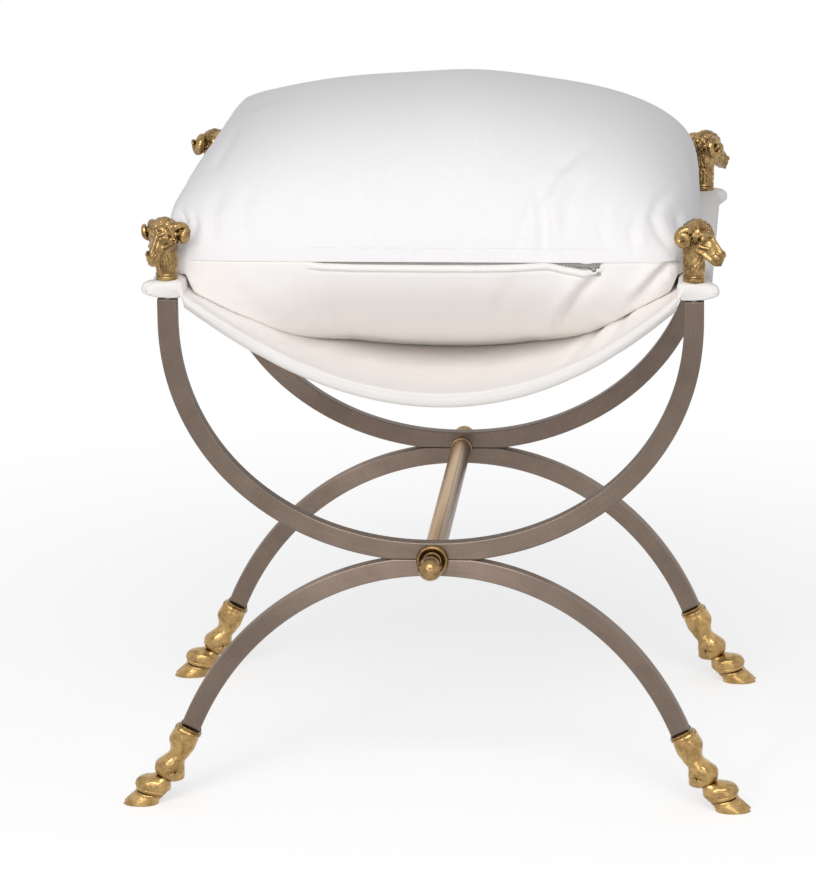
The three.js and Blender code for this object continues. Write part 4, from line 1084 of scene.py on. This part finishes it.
def tucked(outline, y, down):
    """Shift towards the middle of the hem's lower side and the sleeve's, which turn under at the ends."""
    x, z = outline.T
    below = max(0.0, -down) / HEM_DROP * (0.8 + 3.4 * bell(SHEET_REACH - np.abs(x), 50))
    end = max(0.0, min(1.0, (abs(y) - 174) / 7))
    sleeve = np.abs(x) > SHEET_REACH + 0.1
    low = RAIL_MIDDLE - 1.5
    shift = np.where(sleeve, end * 0.55 * np.clip(low - z, 0, 8), below * (np.arange(len(x)) < SHEET_POINTS))
    return -math.copysign(1, y) * (shift + 0.7 * bell(z - low, 0.9) * sleeve * end)


def sling_rows():
    """Lines of stitches with their normals: one along each hem and one beside each sleeve."""
    rows = []
    for y in (-HEM_ROW, HEM_ROW):
        x = np.linspace(-196, 196, 160)
        z = sheet_line(x, y) + CANVAS / 2 + 0.35
        normal = unit(np.stack([-np.gradient(z, x), np.zeros_like(x), np.ones_like(x)], 1))
        rows.append((np.stack([x, np.full_like(x, y), z], 1), normal))
    for side in (-1, 1):
        y = np.linspace(-170, 170, 60)
        x = np.full_like(y, side * (SHEET_REACH - 5))
        z = sheet_height(x, y) + CANVAS / 2 + 0.1
        tilt = np.gradient(sheet_height(side * np.array([190.0, 192.0, 194.0]), np.zeros(3)), 2.0)[1]
        normal = np.array([-side * tilt, 0, 1]) / math.hypot(tilt, 1)
        rows.append((np.stack([x, y, z], 1), np.repeat(normal[None], len(y), 0)))
    return rows


def sling():
    """One sheet with a sleeve on each side and a rolled hem front and back."""
    half = CANVAS / 2
    stations = [(share * SLING_HALF, half, -half, 1.0) for share in np.linspace(0, 0.905, 42)]
    stations += [(SLING_HALF - inset, half + up, -half + down, shrink) for inset, up, down, shrink in HEM]
    stations = [(-y, *rest) for y, *rest in stations[:0:-1]] + stations
    rings, uv = [], []
    for y, over, under, shrink in stations:
        outline = sling_outline(y, over, under, shrink, 6.2 * bell(SLING_HALF - 4 - abs(y), 8.5))
        depth = y + tucked(outline, y, under + half) if y else np.zeros(len(outline))
        rings.append(np.stack([outline[:, 0], depth, outline[:, 1]], 1))
        uv.append(np.stack([run_of(outline), np.full(len(outline), y)], 1))
    points, faces = skin(rings)
    piece = make(
        "sling_canvas", points, faces, "frame", CANVAS_CLOTH, ["seat_sling"], np.concatenate(uv),
    )
    seams = stitches("sling_stitches", sling_rows(), "frame")


sling()


# Cushion
CUSHION = {"front": 168, "back": 164, "seam": 457.5, "crown": 574, "belly": 346, "bulge": 9, "climb": 9}
# Corners of its seam: x, height over the seam in front, and tuck
CORNERS = {
    "front_left": (-216, 27, 9), "front_right": (204, -5, 8), "back_left": (-188, 69, 5),
    "back_right": (201, 31, 8),
}
COARSE, FINE = (60, 50), (170, 140)
CLOTH_WIDTH, CLOTH_DEPTH, SHIFT_CAP, CLOTH_FRAMES = 438, 356, 14.0, 20
ZIP_LEFT, ZIP_RIGHT, ZIP_Z = -98, 137, CUSHION["seam"] - 7
PULL_X, ZIP_PIN_Y = 130.5, -166.65
# How far the zip gapes along the front seam
GAP_PLACES = [-98, -86, -60, 0, 40, 68, 84, 91, 97, 108, 124, 132, 136, 139]
GAP_SIZES = [0, 1.2, 2.0, 2.3, 2.2, 1.5, 0.4, 0, 0.3, 3.0, 5.6, 6.2, 4.5, 0]
TENT_X = 91
# Box of stitches over the zip
BOX_LEFT, BOX_RIGHT, BOX_HEIGHT = -103, 152, 10.8


def corner_value(k, right, back):
    """A value of the corners, spread over the cushion by shares to the right and to the back."""
    front, behind = (
        CORNERS[f"{end}_left"][k] * (1 - right) + CORNERS[f"{end}_right"][k] * right
        for end in ("front", "back")
    )
    return front * (1 - back) + behind * back


def seam_point(u, v):
    """Place of the seam, and of the plan inside it, for u to the right and v to the back from -1 to 1."""
    right, back = (1 + u) / 2, (1 + v) / 2
    tuck = corner_value(2, right, back) * (u * v) ** 8
    bulge, hollow = right * (1 - v * v), (1 - right) * (1 - v * v)
    x = corner_value(0, right, back) + CUSHION["bulge"] * bulge - 3 * hollow - np.sign(u) * tuck
    y = -CUSHION["front"] * (1 - back) + CUSHION["back"] * back - np.sign(v) * tuck
    dip = corner_value(1, right, 0) * ((u ** 10 - 1) * (1 - back) - u ** 10 * np.exp(-(1 + v) / 0.08))
    z = CUSHION["seam"] + corner_value(1, right, back) + dip + CUSHION["climb"] * bulge - 10 * hollow
    return x, y, z


def plump(u, v, across, along):
    """Fullness from 0 at the rim to 1 in the middle; each way has a power inside and one for the edge."""
    shares = [
        np.maximum(0, 1 - np.abs(value) ** inner) ** edge
        for value, (inner, edge) in ((u, across), (v, along))
    ]
    return shares[0] * shares[1]


def seat_height(x, y):
    """Height of what the cushion lies on: the sheet, or a ramp up to the sleeves."""
    ramp_z = SLEEVE_TOP - 2.6 * np.maximum(0, SHEET_HALF - 1 - np.abs(x))
    return np.maximum(ramp_z, sheet_height(x, y) + CANVAS / 2) + 1


def cushion_grids(columns, rows):
    """The upper and lower skins as grids of points that share their rim."""
    places = (np.sin(math.pi / 2 * np.linspace(-1, 1, count + 1)) for count in (columns, rows))
    u, v = np.meshgrid(*places, indexing="ij")
    x, y, seam = seam_point(u, v)
    crown = CUSHION["crown"] - 5.0 + 4.5 * bell(x - 22, 46)
    top = seam + (crown - seam) * plump(u, v, (2.7, 0.48), (2.3, 0.52))
    corner = np.clip((np.abs(u) - 0.35) / 0.5, 0, 1)
    along = (1.1 + 0.9 * corner, 0.5 - 0.08 * corner)
    fullness = np.where(u < 0, plump(u, v, (10, 0.35), along), plump(u, v, (3.0, 0.38), along))
    hanging = seam + (CUSHION["belly"] - seam) * fullness
    bottom = np.maximum(hanging, np.minimum(seam, seat_height(x, y)))
    return np.stack([x, y, top], -1), np.stack([x, y, bottom], -1)


def share_rim(top, bottom):
    """Puts the rim of the lower skin on that of the upper one."""
    bottom[:, 0], bottom[:, -1] = top[:, 0], top[:, -1]
    bottom[0], bottom[-1] = top[0], top[-1]


def grid_numbers(columns, rows):
    """Point numbers of the upper and lower skins, which share their rim."""
    above = np.arange((columns + 1) * (rows + 1)).reshape(columns + 1, rows + 1)
    below = above.copy()
    below[1:-1, 1:-1] = np.arange((columns - 1) * (rows - 1)).reshape(columns - 1, rows - 1) + above.size
    return above, below


def grid_faces(above, below):
    """Faces of the two skins from their point numbers."""
    faces = []
    for grid, flip in ((above, False), (below, True)):
        quad = np.stack([grid[:-1, :-1], grid[1:, :-1], grid[1:, 1:], grid[:-1, 1:]], -1).reshape(-1, 4)
        faces.append(quad[:, ::-1] if flip else quad)
    return np.concatenate(faces)


def run_share(grid, axis):
    """Length along an axis of the grid as a share of the whole length of that line, from -1/2 to 1/2."""
    steps = np.linalg.norm(np.diff(grid, axis=axis), axis=-1)
    total = np.cumsum(steps, axis=axis)
    start = np.zeros_like(np.take(total, [0], axis=axis))
    total = np.concatenate([start, total], axis=axis)
    return total / np.take(total, [-1], axis=axis) - 0.5


CLOTH = {
    "quality": 7, "mass": 0.25, "tension_stiffness": 22, "compression_stiffness": 22, "shear_stiffness": 8,
    "bending_stiffness": 0.35, "air_damping": 2, "tension_damping": 12, "compression_damping": 12,
    "vertex_group_mass": "pins", "pin_stiffness": 1.0, "use_pressure": True, "uniform_pressure_force": 4.0,
}


def inflated(top, bottom):
    """Shifts of the two skins in a cloth simulation in which two flat panels of cloth hold the filling."""
    above, below = grid_numbers(top.shape[0] - 1, top.shape[1] - 1)
    points = np.zeros((below.max() + 1, 3))
    flat = np.zeros_like(points)
    for grid, number, lift in ((bottom, below, -1.0), (top, above, 1.0)):
        points[number.ravel()] = grid.reshape(-1, 3)
        wide, deep = run_share(grid, 0) * CLOTH_WIDTH, run_share(grid, 1) * CLOTH_DEPTH
        flat[number.ravel()] = np.stack([wide, deep, np.full(grid.shape[:2], lift)], -1).reshape(-1, 3)
    rim = np.unique(np.concatenate([above[0], above[-1], above[:, 0], above[:, -1]]))
    flat[rim, 2] = 0
    scene = bpy.context.scene
    mesh = bpy.data.meshes.new("pillow")
    mesh.from_pydata((points * MM).tolist(), [], grid_faces(above, below).tolist())
    mesh.update()
    pillow = bpy.data.objects.new("pillow", mesh)
    scene.collection.objects.link(pillow)
    pillow.shape_key_add(name="Basis")
    panels = pillow.shape_key_add(name="panels")
    panels.data.foreach_set("co", (flat * MM).ravel())
    panels.value = 0
    pins = pillow.vertex_groups.new(name="pins")
    pins.add(above[:, 0].tolist(), 1.0, "REPLACE")
    pins.add(above[0].tolist() + above[-1].tolist(), 0.35, "REPLACE")
    pins.add(above[:, -1].tolist(), 0.35, "REPLACE")
    cloth = pillow.modifiers.new("cloth", "CLOTH")
    for name, value in CLOTH.items():
        setattr(cloth.settings, name, value)
    cloth.settings.rest_shape_key = panels
    cloth.settings.effector_weights.gravity = 0
    cloth.collision_settings.use_collision = False
    cloth.collision_settings.use_self_collision = False
    for step in range(1, CLOTH_FRAMES + 1):
        scene.frame_set(step)
    evaluated = pillow.evaluated_get(bpy.context.evaluated_depsgraph_get())
    moved = np.zeros(len(points) * 3)
    evaluated.data.vertices.foreach_get("co", moved)
    scene.frame_set(1)
    bpy.data.objects.remove(pillow)
    shift = moved.reshape(-1, 3) / MM - points
    size = np.linalg.norm(shift, axis=1, keepdims=True)
    shift = shift * (SHIFT_CAP * np.tanh(size / SHIFT_CAP) / np.maximum(size, 1e-6))
    return shift[above], shift[below]


def finer(grid, places):
    """A grid resampled smoothly at fractional columns and rows."""
    columns, rows = places
    return np.swapaxes(eased(np.swapaxes(eased(grid, columns), 0, 1), rows), 0, 1)


def grid_normals(grid):
    """Unit normals of a grid of points."""
    return unit(np.cross(np.gradient(grid, axis=0), np.gradient(grid, axis=1)))


def seen_at(points):
    """Where points in millimetres fall in the photograph, in pixels."""
    right, up, back = np.moveaxis((points - np.array(CAMERA_PLACE)) @ np.array(CAMERA_TURN), -1, 0)
    scale = LENS / SENSOR * PHOTO_HEIGHT / -back
    return np.stack([PHOTO_WIDTH / 2 + scale * right, PHOTO_HEIGHT / 2 - scale * up], -1)


def fold_shift(place, line, depth, width):
    """A valley of a depth along a line, with a softer ridge on its left side."""
    distance, side, share = nearest_on(place, line)
    signed = distance * side
    fade = np.clip(np.minimum(share, 1 - share) * 4 + 0.25, 0, 1)
    return depth * fade * (0.55 * bell(signed - 2.0 * width, 1.3 * width) - bell(signed, width))


# Folds of the two skins: a line of pixels in the photograph, the depth in mm and the width in pixels
FOLD_GAIN = 1.3
TOP_FOLDS = [
    ([(518, 252), (525, 226), (531, 205), (546, 178)], 2.2, 4.5),
    ([(547, 258), (545, 236), (542, 199), (555, 173), (584, 145)], 2.8, 5.0),
    ([(566, 232), (570, 206), (584, 180)], 1.2, 5.0),
    ([(672, 250), (660, 236), (652, 218), (658, 202), (672, 190)], 1.5, 4.5),
    ([(690, 240), (680, 228), (676, 214)], 1.4, 4.0),
    ([(636, 250), (631, 232), (638, 214)], 1.4, 4.5),
    ([(608, 250), (600, 226), (607, 205)], 1.1, 5.0),
    ([(182, 232), (186, 220), (180, 212)], 2.4, 3.2),
    ([(190, 238), (196, 226), (192, 212)], 1.8, 3.6),
    ([(214, 244), (212, 214), (222, 190)], 1.1, 6.0),
    ([(248, 246), (243, 212), (252, 186)], 0.9, 6.0),
    ([(288, 250), (286, 214), (292, 190)], 0.9, 6.5),
    ([(350, 250), (347, 222), (352, 196)], 0.8, 6.0),
    ([(372, 248), (368, 226), (374, 206)], 0.8, 5.0),
    ([(466, 250), (462, 224), (468, 198)], 0.9, 6.0),
    ([(243, 112), (262, 103), (280, 96)], 1.1, 3.5),
    ([(240, 125), (226, 148), (214, 170)], 1.1, 4.0),
    ([(692, 160), (699, 185), (701, 205)], 1.2, 3.5),
]
LOW_FOLDS = [
    ([(603, 268), (594, 279), (577, 299), (563, 320), (556, 334)], 4.2, 5.5),
    ([(686, 254), (670, 264), (655, 280), (643, 293), (632, 306)], 5.0, 5.0),
    ([(520, 272), (505, 296), (490, 330)], 0.9, 8.0),
    ([(225, 270), (236, 290), (262, 312)], 0.9, 7.0),
    ([(300, 276), (306, 300), (330, 322)], 0.6, 9.0),
]


def creased(grid, normals, folds):
    """The grid with folds pressed in where it faces the photograph."""
    place = seen_at(grid)
    weight = np.clip(normals @ np.array(CAMERA_TURN)[:, 2] * 3 + 0.2, 0, 1)
    shift = FOLD_GAIN * sum(fold_shift(place, *fold) for fold in folds)
    return grid + normals * (shift * weight)[..., None]


def zip_gap(x):
    """How far the zip gapes at a place along it."""
    return np.interp(x, GAP_PLACES, GAP_SIZES)


def cushion_skins():
    """The upper and lower skins after the simulation, with their folds."""
    top, bottom = cushion_grids(*FINE)
    places = [np.linspace(0, size, count + 1) for size, count in zip(COARSE, FINE)]
    top_shift, bottom_shift = (finer(shift, places) for shift in inflated(*cushion_grids(*COARSE)))
    room = np.clip((bottom[..., 2] - seat_height(bottom[..., 0], bottom[..., 1])) / 12, 0, 1)
    top, bottom = top + top_shift, bottom + bottom_shift * (0.35 * room)[..., None]
    share_rim(top, bottom)
    top = creased(top, grid_normals(top), TOP_FOLDS)
    bottom = creased(bottom, -grid_normals(bottom), LOW_FOLDS)
    share_rim(top, bottom)
    return top, bottom


# Shares of a column's length over the crown, from the back to the front seam, and of its length under the lip
TOP_SHARE = np.concatenate([
    [0, 0.0015], np.linspace(0.006, 0.93, 121), np.linspace(0.9355, 0.994, 12), [0.9985, 1],
])
LOW_SHARE = np.linspace(0, 1, 126)[1:-1] ** 1.15
SEAM_ROW = len(TOP_SHARE) - 1
# Where the seam's notch ends at both sides, and the width over which the weave is laid
SEAM_END, SEAM_FULL, WEAVE_WIDTH = 203, 190, 455


def lip_table(x):
    """Lengths from the front seam down the lower skin, and how proud the skin is there with the zip's lip."""
    inside = ease_in(x, -SEAM_END, -SEAM_FULL) * ease_in(-x, -SEAM_END, -SEAM_FULL)
    zipped = ease_in(x, ZIP_LEFT - 2, ZIP_LEFT + 6) * ease_in(-x, -ZIP_RIGHT - 2, -ZIP_RIGHT + 4)
    tent, gap = bell(x - TENT_X, 7), zip_gap(x)
    depth = inside * (0.8 + 4.2 * zipped * min(1, gap / 0.8))
    lip = zipped * (1 - 0.25 * tent)
    table = np.array([
        (0.45, 0.25), (0.6, -depth - 0.5), (0.8 + gap, -depth - 0.5), (1.1 + gap, 0.1 * lip - 0.3 * inside),
        (1.9 + gap, (1.4 + 1.4 * tent) * lip), (3.4 + gap, (2.2 + 1.8 * tent) * lip), (5.2 + gap, 1.9 * lip),
        (6.3 + gap, 0.9 * lip), (6.9 + gap, -0.7 * lip), (7.5 + gap, -0.2 * lip), (9.5 + gap, 0.4 * lip),
    ])
    return table[:, 0], table[:, 1] * inside


def cushion_column(over_curve, under_curve, at_side):
    """Points from the back over the crown, through the zip and under the belly, with their run."""
    over_length, under_length = run_of(over_curve)[-1], run_of(under_curve)[-1]
    over = by_length(over_curve, TOP_SHARE * over_length)
    lengths, proud = lip_table(under_curve[0, 0])
    start = lengths[-1] + 2
    lengths = np.concatenate([lengths, start + LOW_SHARE * (under_length - start)])
    proud = np.concatenate([proud, np.zeros(len(LOW_SHARE))])
    way = by_length(under_curve, lengths + 1.5) - by_length(under_curve, np.maximum(lengths - 1.5, 0))
    normal = unit(np.stack([np.zeros(len(way)), way[:, 2], -way[:, 1]], 1))
    under = over[-2:0:-1] if at_side else by_length(under_curve, lengths) + normal * proud[:, None]
    return np.concatenate([over, under]), np.concatenate([TOP_SHARE * over_length, over_length + lengths])


def cushion():
    """The cover as one closed skin whose two halves share their points along the side seams."""
    top, bottom = cushion_skins()
    last = len(top) - 1
    columns = [cushion_column(top[i, ::-1], bottom[i], i in (0, last)) for i in range(last + 1)]
    rings, runs = (np.array(values) for values in zip(*columns))
    across = run_share(top[:, :: FINE[1] // 2], 0)[:, 1] * WEAVE_WIDTH
    uv = np.stack([np.broadcast_to(across[:, None], runs.shape), runs], -1).reshape(-1, 2)
    points, faces = skin(rings, capped=False)
    size, upper = rings.shape[1], len(TOP_SHARE)
    rim = {}
    for start in (0, last * size):
        rim.update({start + upper + k: start + upper - 2 - k for k in range(size - upper)})
    faces = [[rim.get(number, number) for number in face] for face in faces]
    kept = np.unique(faces)
    place = np.zeros(len(points), int)
    place[kept] = np.arange(len(kept))
    # The lower skin is marked for the cotton's warmer, lighter tones of painted light
    piece = make(
        "cushion_case", points[kept], place[np.array(faces)].tolist(), "cushion", COTTON,
        ["cushion_cover", "cushion_insert"], uv[kept],
        {"lower_painted_light": np.tile(np.arange(size) >= upper, len(rings))[kept]},
    )
    return rings


cushion_rings = cushion()


# Zip and stitching
ZIP_INSET, TOOTH_PITCH, TOOTH_LEAN, TOOTH_HALF = 3.6, 1.25, 0.22, (1.7, 0.75, 0.42)


def zip_parts():
    """The tape behind the gap, and the teeth of the coil in front of it."""
    front = cushion_rings[:, SEAM_ROW]
    line = front[(front[:, 0] > ZIP_LEFT - 1) & (front[:, 0] < ZIP_RIGHT + 1)]
    xs = np.linspace(ZIP_LEFT - 2, ZIP_RIGHT + 2, 90)
    seam_y, seam_z = (np.interp(xs, line[:, 0], line[:, axis]) for axis in (1, 2))
    section = ((0, 3), (0.9, 3), (0.9, -12), (0, -12))
    rings = [[(x, y + ZIP_INSET + dy, z + dz) for dy, dz in section] for x, y, z in zip(xs, seam_y, seam_z)]
    points, faces = skin(rings)
    make("zip_band", points, faces, "cushion", ZIP_TAPE, ["zip_tape"], uv=points[:, [0, 2]])
    places = np.arange(ZIP_LEFT + 1, ZIP_RIGHT - 1, TOOTH_PITCH)
    tooth_y = np.interp(places, xs, seam_y) + 1.9
    tooth_z = np.interp(places, xs, seam_z) - 1.0 - zip_gap(places) * 0.5
    frames = []
    for k in range(len(places)):
        lean = TOOTH_LEAN if k % 2 else -TOOTH_LEAN
        c, s = math.cos(lean), math.sin(lean)
        frames.append([[s, 0, c], [0, 1, 0], [c, 0, -s]])
    points, faces = boxes(np.stack([places, tooth_y, tooth_z], 1), frames, [TOOTH_HALF] * len(places))
    make("zip_teeth", points, faces, "cushion", ZIP_COIL)


def zip_plate(corners, layers):
    """A small plate at the slider's pin; its layers are [place along Y, size]."""
    rings = []
    for y, size in layers:
        xs, zs = rounded(corners, 0.9, 3).T * size
        rings.append(np.stack([xs + PULL_X, np.full(len(xs), ZIP_PIN_Y + y), zs + ZIP_Z], 1))
    return skin(rings)


def zip_slider():
    """Slider body with its bridge, and the pull hung on it."""
    body_points, body_faces = zip_plate(
        [[-5, -2.2], [-3.6, -3.3], [3.2, -3.3], [5, -2.4], [5, 2.4], [3.2, 3.3], [-3.6, 3.3], [-5, 2.2]],
        ((1.0, 0.9), (1.3, 1.0), (3.2, 1.0), (3.5, 0.9)),
    )
    bridge = []
    for turn in np.linspace(0, math.pi, 13):
        out = np.array([-math.cos(turn), -math.sin(turn), 0])
        centre = np.array([PULL_X, ZIP_PIN_Y + 1.2, ZIP_Z]) + out * [2.4, 2.3, 0]
        section = ((0.35, 0.7), (-0.35, 0.7), (-0.35, -0.7), (0.35, -0.7))
        bridge.append([centre + out * a + [0, 0, b] for a, b in section])
    bridge_points, bridge_faces = skin(bridge)
    make(
        "zip_runner", np.concatenate([body_points, bridge_points]),
        body_faces + [[k + len(body_points) for k in face] for face in bridge_faces],
        "zip_slider", ZIP_METAL, ["zip_slider"],
    )
    points, faces = zip_plate(
        [[-22, -1.3], [-21, -2], [-3, -1.6], [0.4, -0.9], [0.4, 0.9], [-3, 1.6], [-21, 2], [-22, 1.3]],
        ((-0.5, 0.96), (-0.35, 1), (0.35, 1), (0.5, 0.96)),
    )
    make("zip_tab", points, faces, "zip_pull", ZIP_METAL, ["zip_pull"])


def cushion_stitching():
    """A row of stitches on the lip under the zip, and a box of stitches on the flap over it."""
    rings, normals = cushion_rings, grid_normals(cushion_rings)
    normals = normals * -np.sign(normals[len(rings) // 2, SEAM_ROW - 7, 1])
    x = rings[:, SEAM_ROW, 0]
    under_lip = np.flatnonzero((x > ZIP_LEFT - 3) & (x < ZIP_RIGHT + 4))
    over_zip = np.flatnonzero((x > BOX_LEFT) & (x < BOX_RIGHT))
    corner = over_zip[0]
    box_side = by_length(rings[corner, SEAM_ROW::-1], np.linspace(0.5, BOX_HEIGHT, 8))
    lines = [
        (rings[under_lip, SEAM_ROW + 9], normals[under_lip, SEAM_ROW + 9]),
        (
            np.concatenate([by_length(rings[i, SEAM_ROW::-1], [BOX_HEIGHT]) for i in over_zip]),
            normals[over_zip, SEAM_ROW - 11],
        ),
        (box_side, np.repeat(normals[corner, SEAM_ROW - 9][None], 8, 0)),
    ]
    stitches("cushion_stitches", lines, "cushion", thick=0.26)


zip_parts()
zip_slider()
cushion_stitching()

# Solids that stay as they are
for name, piece in nodes.items():
    if name.startswith(("side_rail", "tie_rod", "post_stud", "hoof_screw")):
        piece.data.materials.clear()
        piece.data.materials.append(ZINC)


# Stage, camera and lamps
FLOOR_HALF = 40.0
WHITE = (1, 1, 1)


def unless_seen(tree, out, lit, seen):
    """One shader for the light on the object, and another for the camera, gloss and glass."""
    rays = node(tree, "LightPath").outputs
    direct = calc(tree, "MAXIMUM", rays["Is Camera Ray"], rays["Is Glossy Ray"])
    direct = calc(tree, "MAXIMUM", direct, rays["Is Transmission Ray"])
    either = node(tree, "MixShader", {0: direct, 1: lit.outputs[0], 2: seen.outputs[0]})
    feed(tree, out.inputs[0], either.outputs[0])


def floor():
    """A pale floor that keeps the object's shadow and turns white further away."""
    corners = [(x * FLOOR_HALF, y * FLOOR_HALF, 0) for x, y in ((-1, -1), (1, -1), (1, 1), (-1, 1))]
    mesh = bpy.data.meshes.new("floor")
    mesh.from_pydata(corners, [], [(0, 1, 2, 3)])
    piece = bpy.data.objects.new("floor", mesh)
    bpy.context.scene.collection.objects.link(piece)
    piece.location.z = -0.0002
    material = bpy.data.materials.new("floor")
    tree, out = blank_tree(material, "OutputMaterial")
    shadowed = node(tree, "BsdfDiffuse", {"Color": (0.56, 0.56, 0.56)})
    glow = node(tree, "Emission", {"Color": WHITE, "Strength": 0.58})
    both = node(tree, "AddShader", {0: shadowed.outputs[0], 1: glow.outputs[0]})
    white = node(tree, "Emission", {"Color": WHITE, "Strength": 1.0})
    away = node(tree, "VectorMath", {0: node(tree, "TexCoord").outputs["Object"]}, operation="LENGTH")
    far = node(tree, "MapRange", {"Value": away.outputs["Value"], "From Min": 0.35, "From Max": 1.1})
    seen = node(tree, "MixShader", {0: far.outputs[0], 1: both.outputs[0], 2: white.outputs[0]})
    unless_seen(tree, out, node(tree, "BsdfDiffuse", {"Color": (0.8, 0.8, 0.8)}), seen)
    mesh.materials.append(material)


def world():
    """Soft light from all round, seen as white."""
    made = bpy.data.worlds.new("studio")
    bpy.context.scene.world = made
    tree, out = blank_tree(made, "OutputWorld")
    soft = node(tree, "Background", {"Color": (0.96, 0.97, 1.0), "Strength": 0.4})
    unless_seen(tree, out, soft, node(tree, "Background", {"Color": WHITE, "Strength": 1.0}))


def lamp(name, place, aim, size, power, color):
    """A rectangular lamp at a place that points at another, in metres and watts."""
    light = bpy.data.lights.new(name, "AREA")
    light.shape = "RECTANGLE"
    light.size, light.size_y = size
    light.energy = power
    light.color = color
    made = bpy.data.objects.new(name, light)
    bpy.context.scene.collection.objects.link(made)
    made.location = place
    made.rotation_euler = (Vector(aim) - Vector(place)).to_track_quat("-Z", "Y").to_euler()


def camera():
    """The camera of the photograph."""
    data = bpy.data.cameras.new("camera")
    data.lens, data.sensor_width = LENS, SENSOR
    data.clip_start, data.clip_end = 0.1, 200
    made = bpy.data.objects.new("camera", data)
    bpy.context.scene.collection.objects.link(made)
    made.matrix_world = Matrix.Translation(Vector(CAMERA_PLACE) * MM) @ CAMERA_TURN.to_4x4()
    bpy.context.scene.camera = made


camera()
floor()
world()
lamp("front", (0.0, -2.7, 2.5), (0, 0, 0.4), (2.4, 1.4), 56, (1, 0.99, 0.975))
lamp("side", (-1.45, -3.5, 1.5), (0, 0, 0.38), (0.62, 0.5), 16, (1, 0.985, 0.965))
lamp("low", (0.3, -3.3, 0.45), (0, 0, 0.4), (3.0, 0.8), 10, (1, 0.98, 0.96))
bpy.context.scene.cycles.diffuse_bounces = 8
bpy.context.scene.view_settings.view_transform = "Standard"
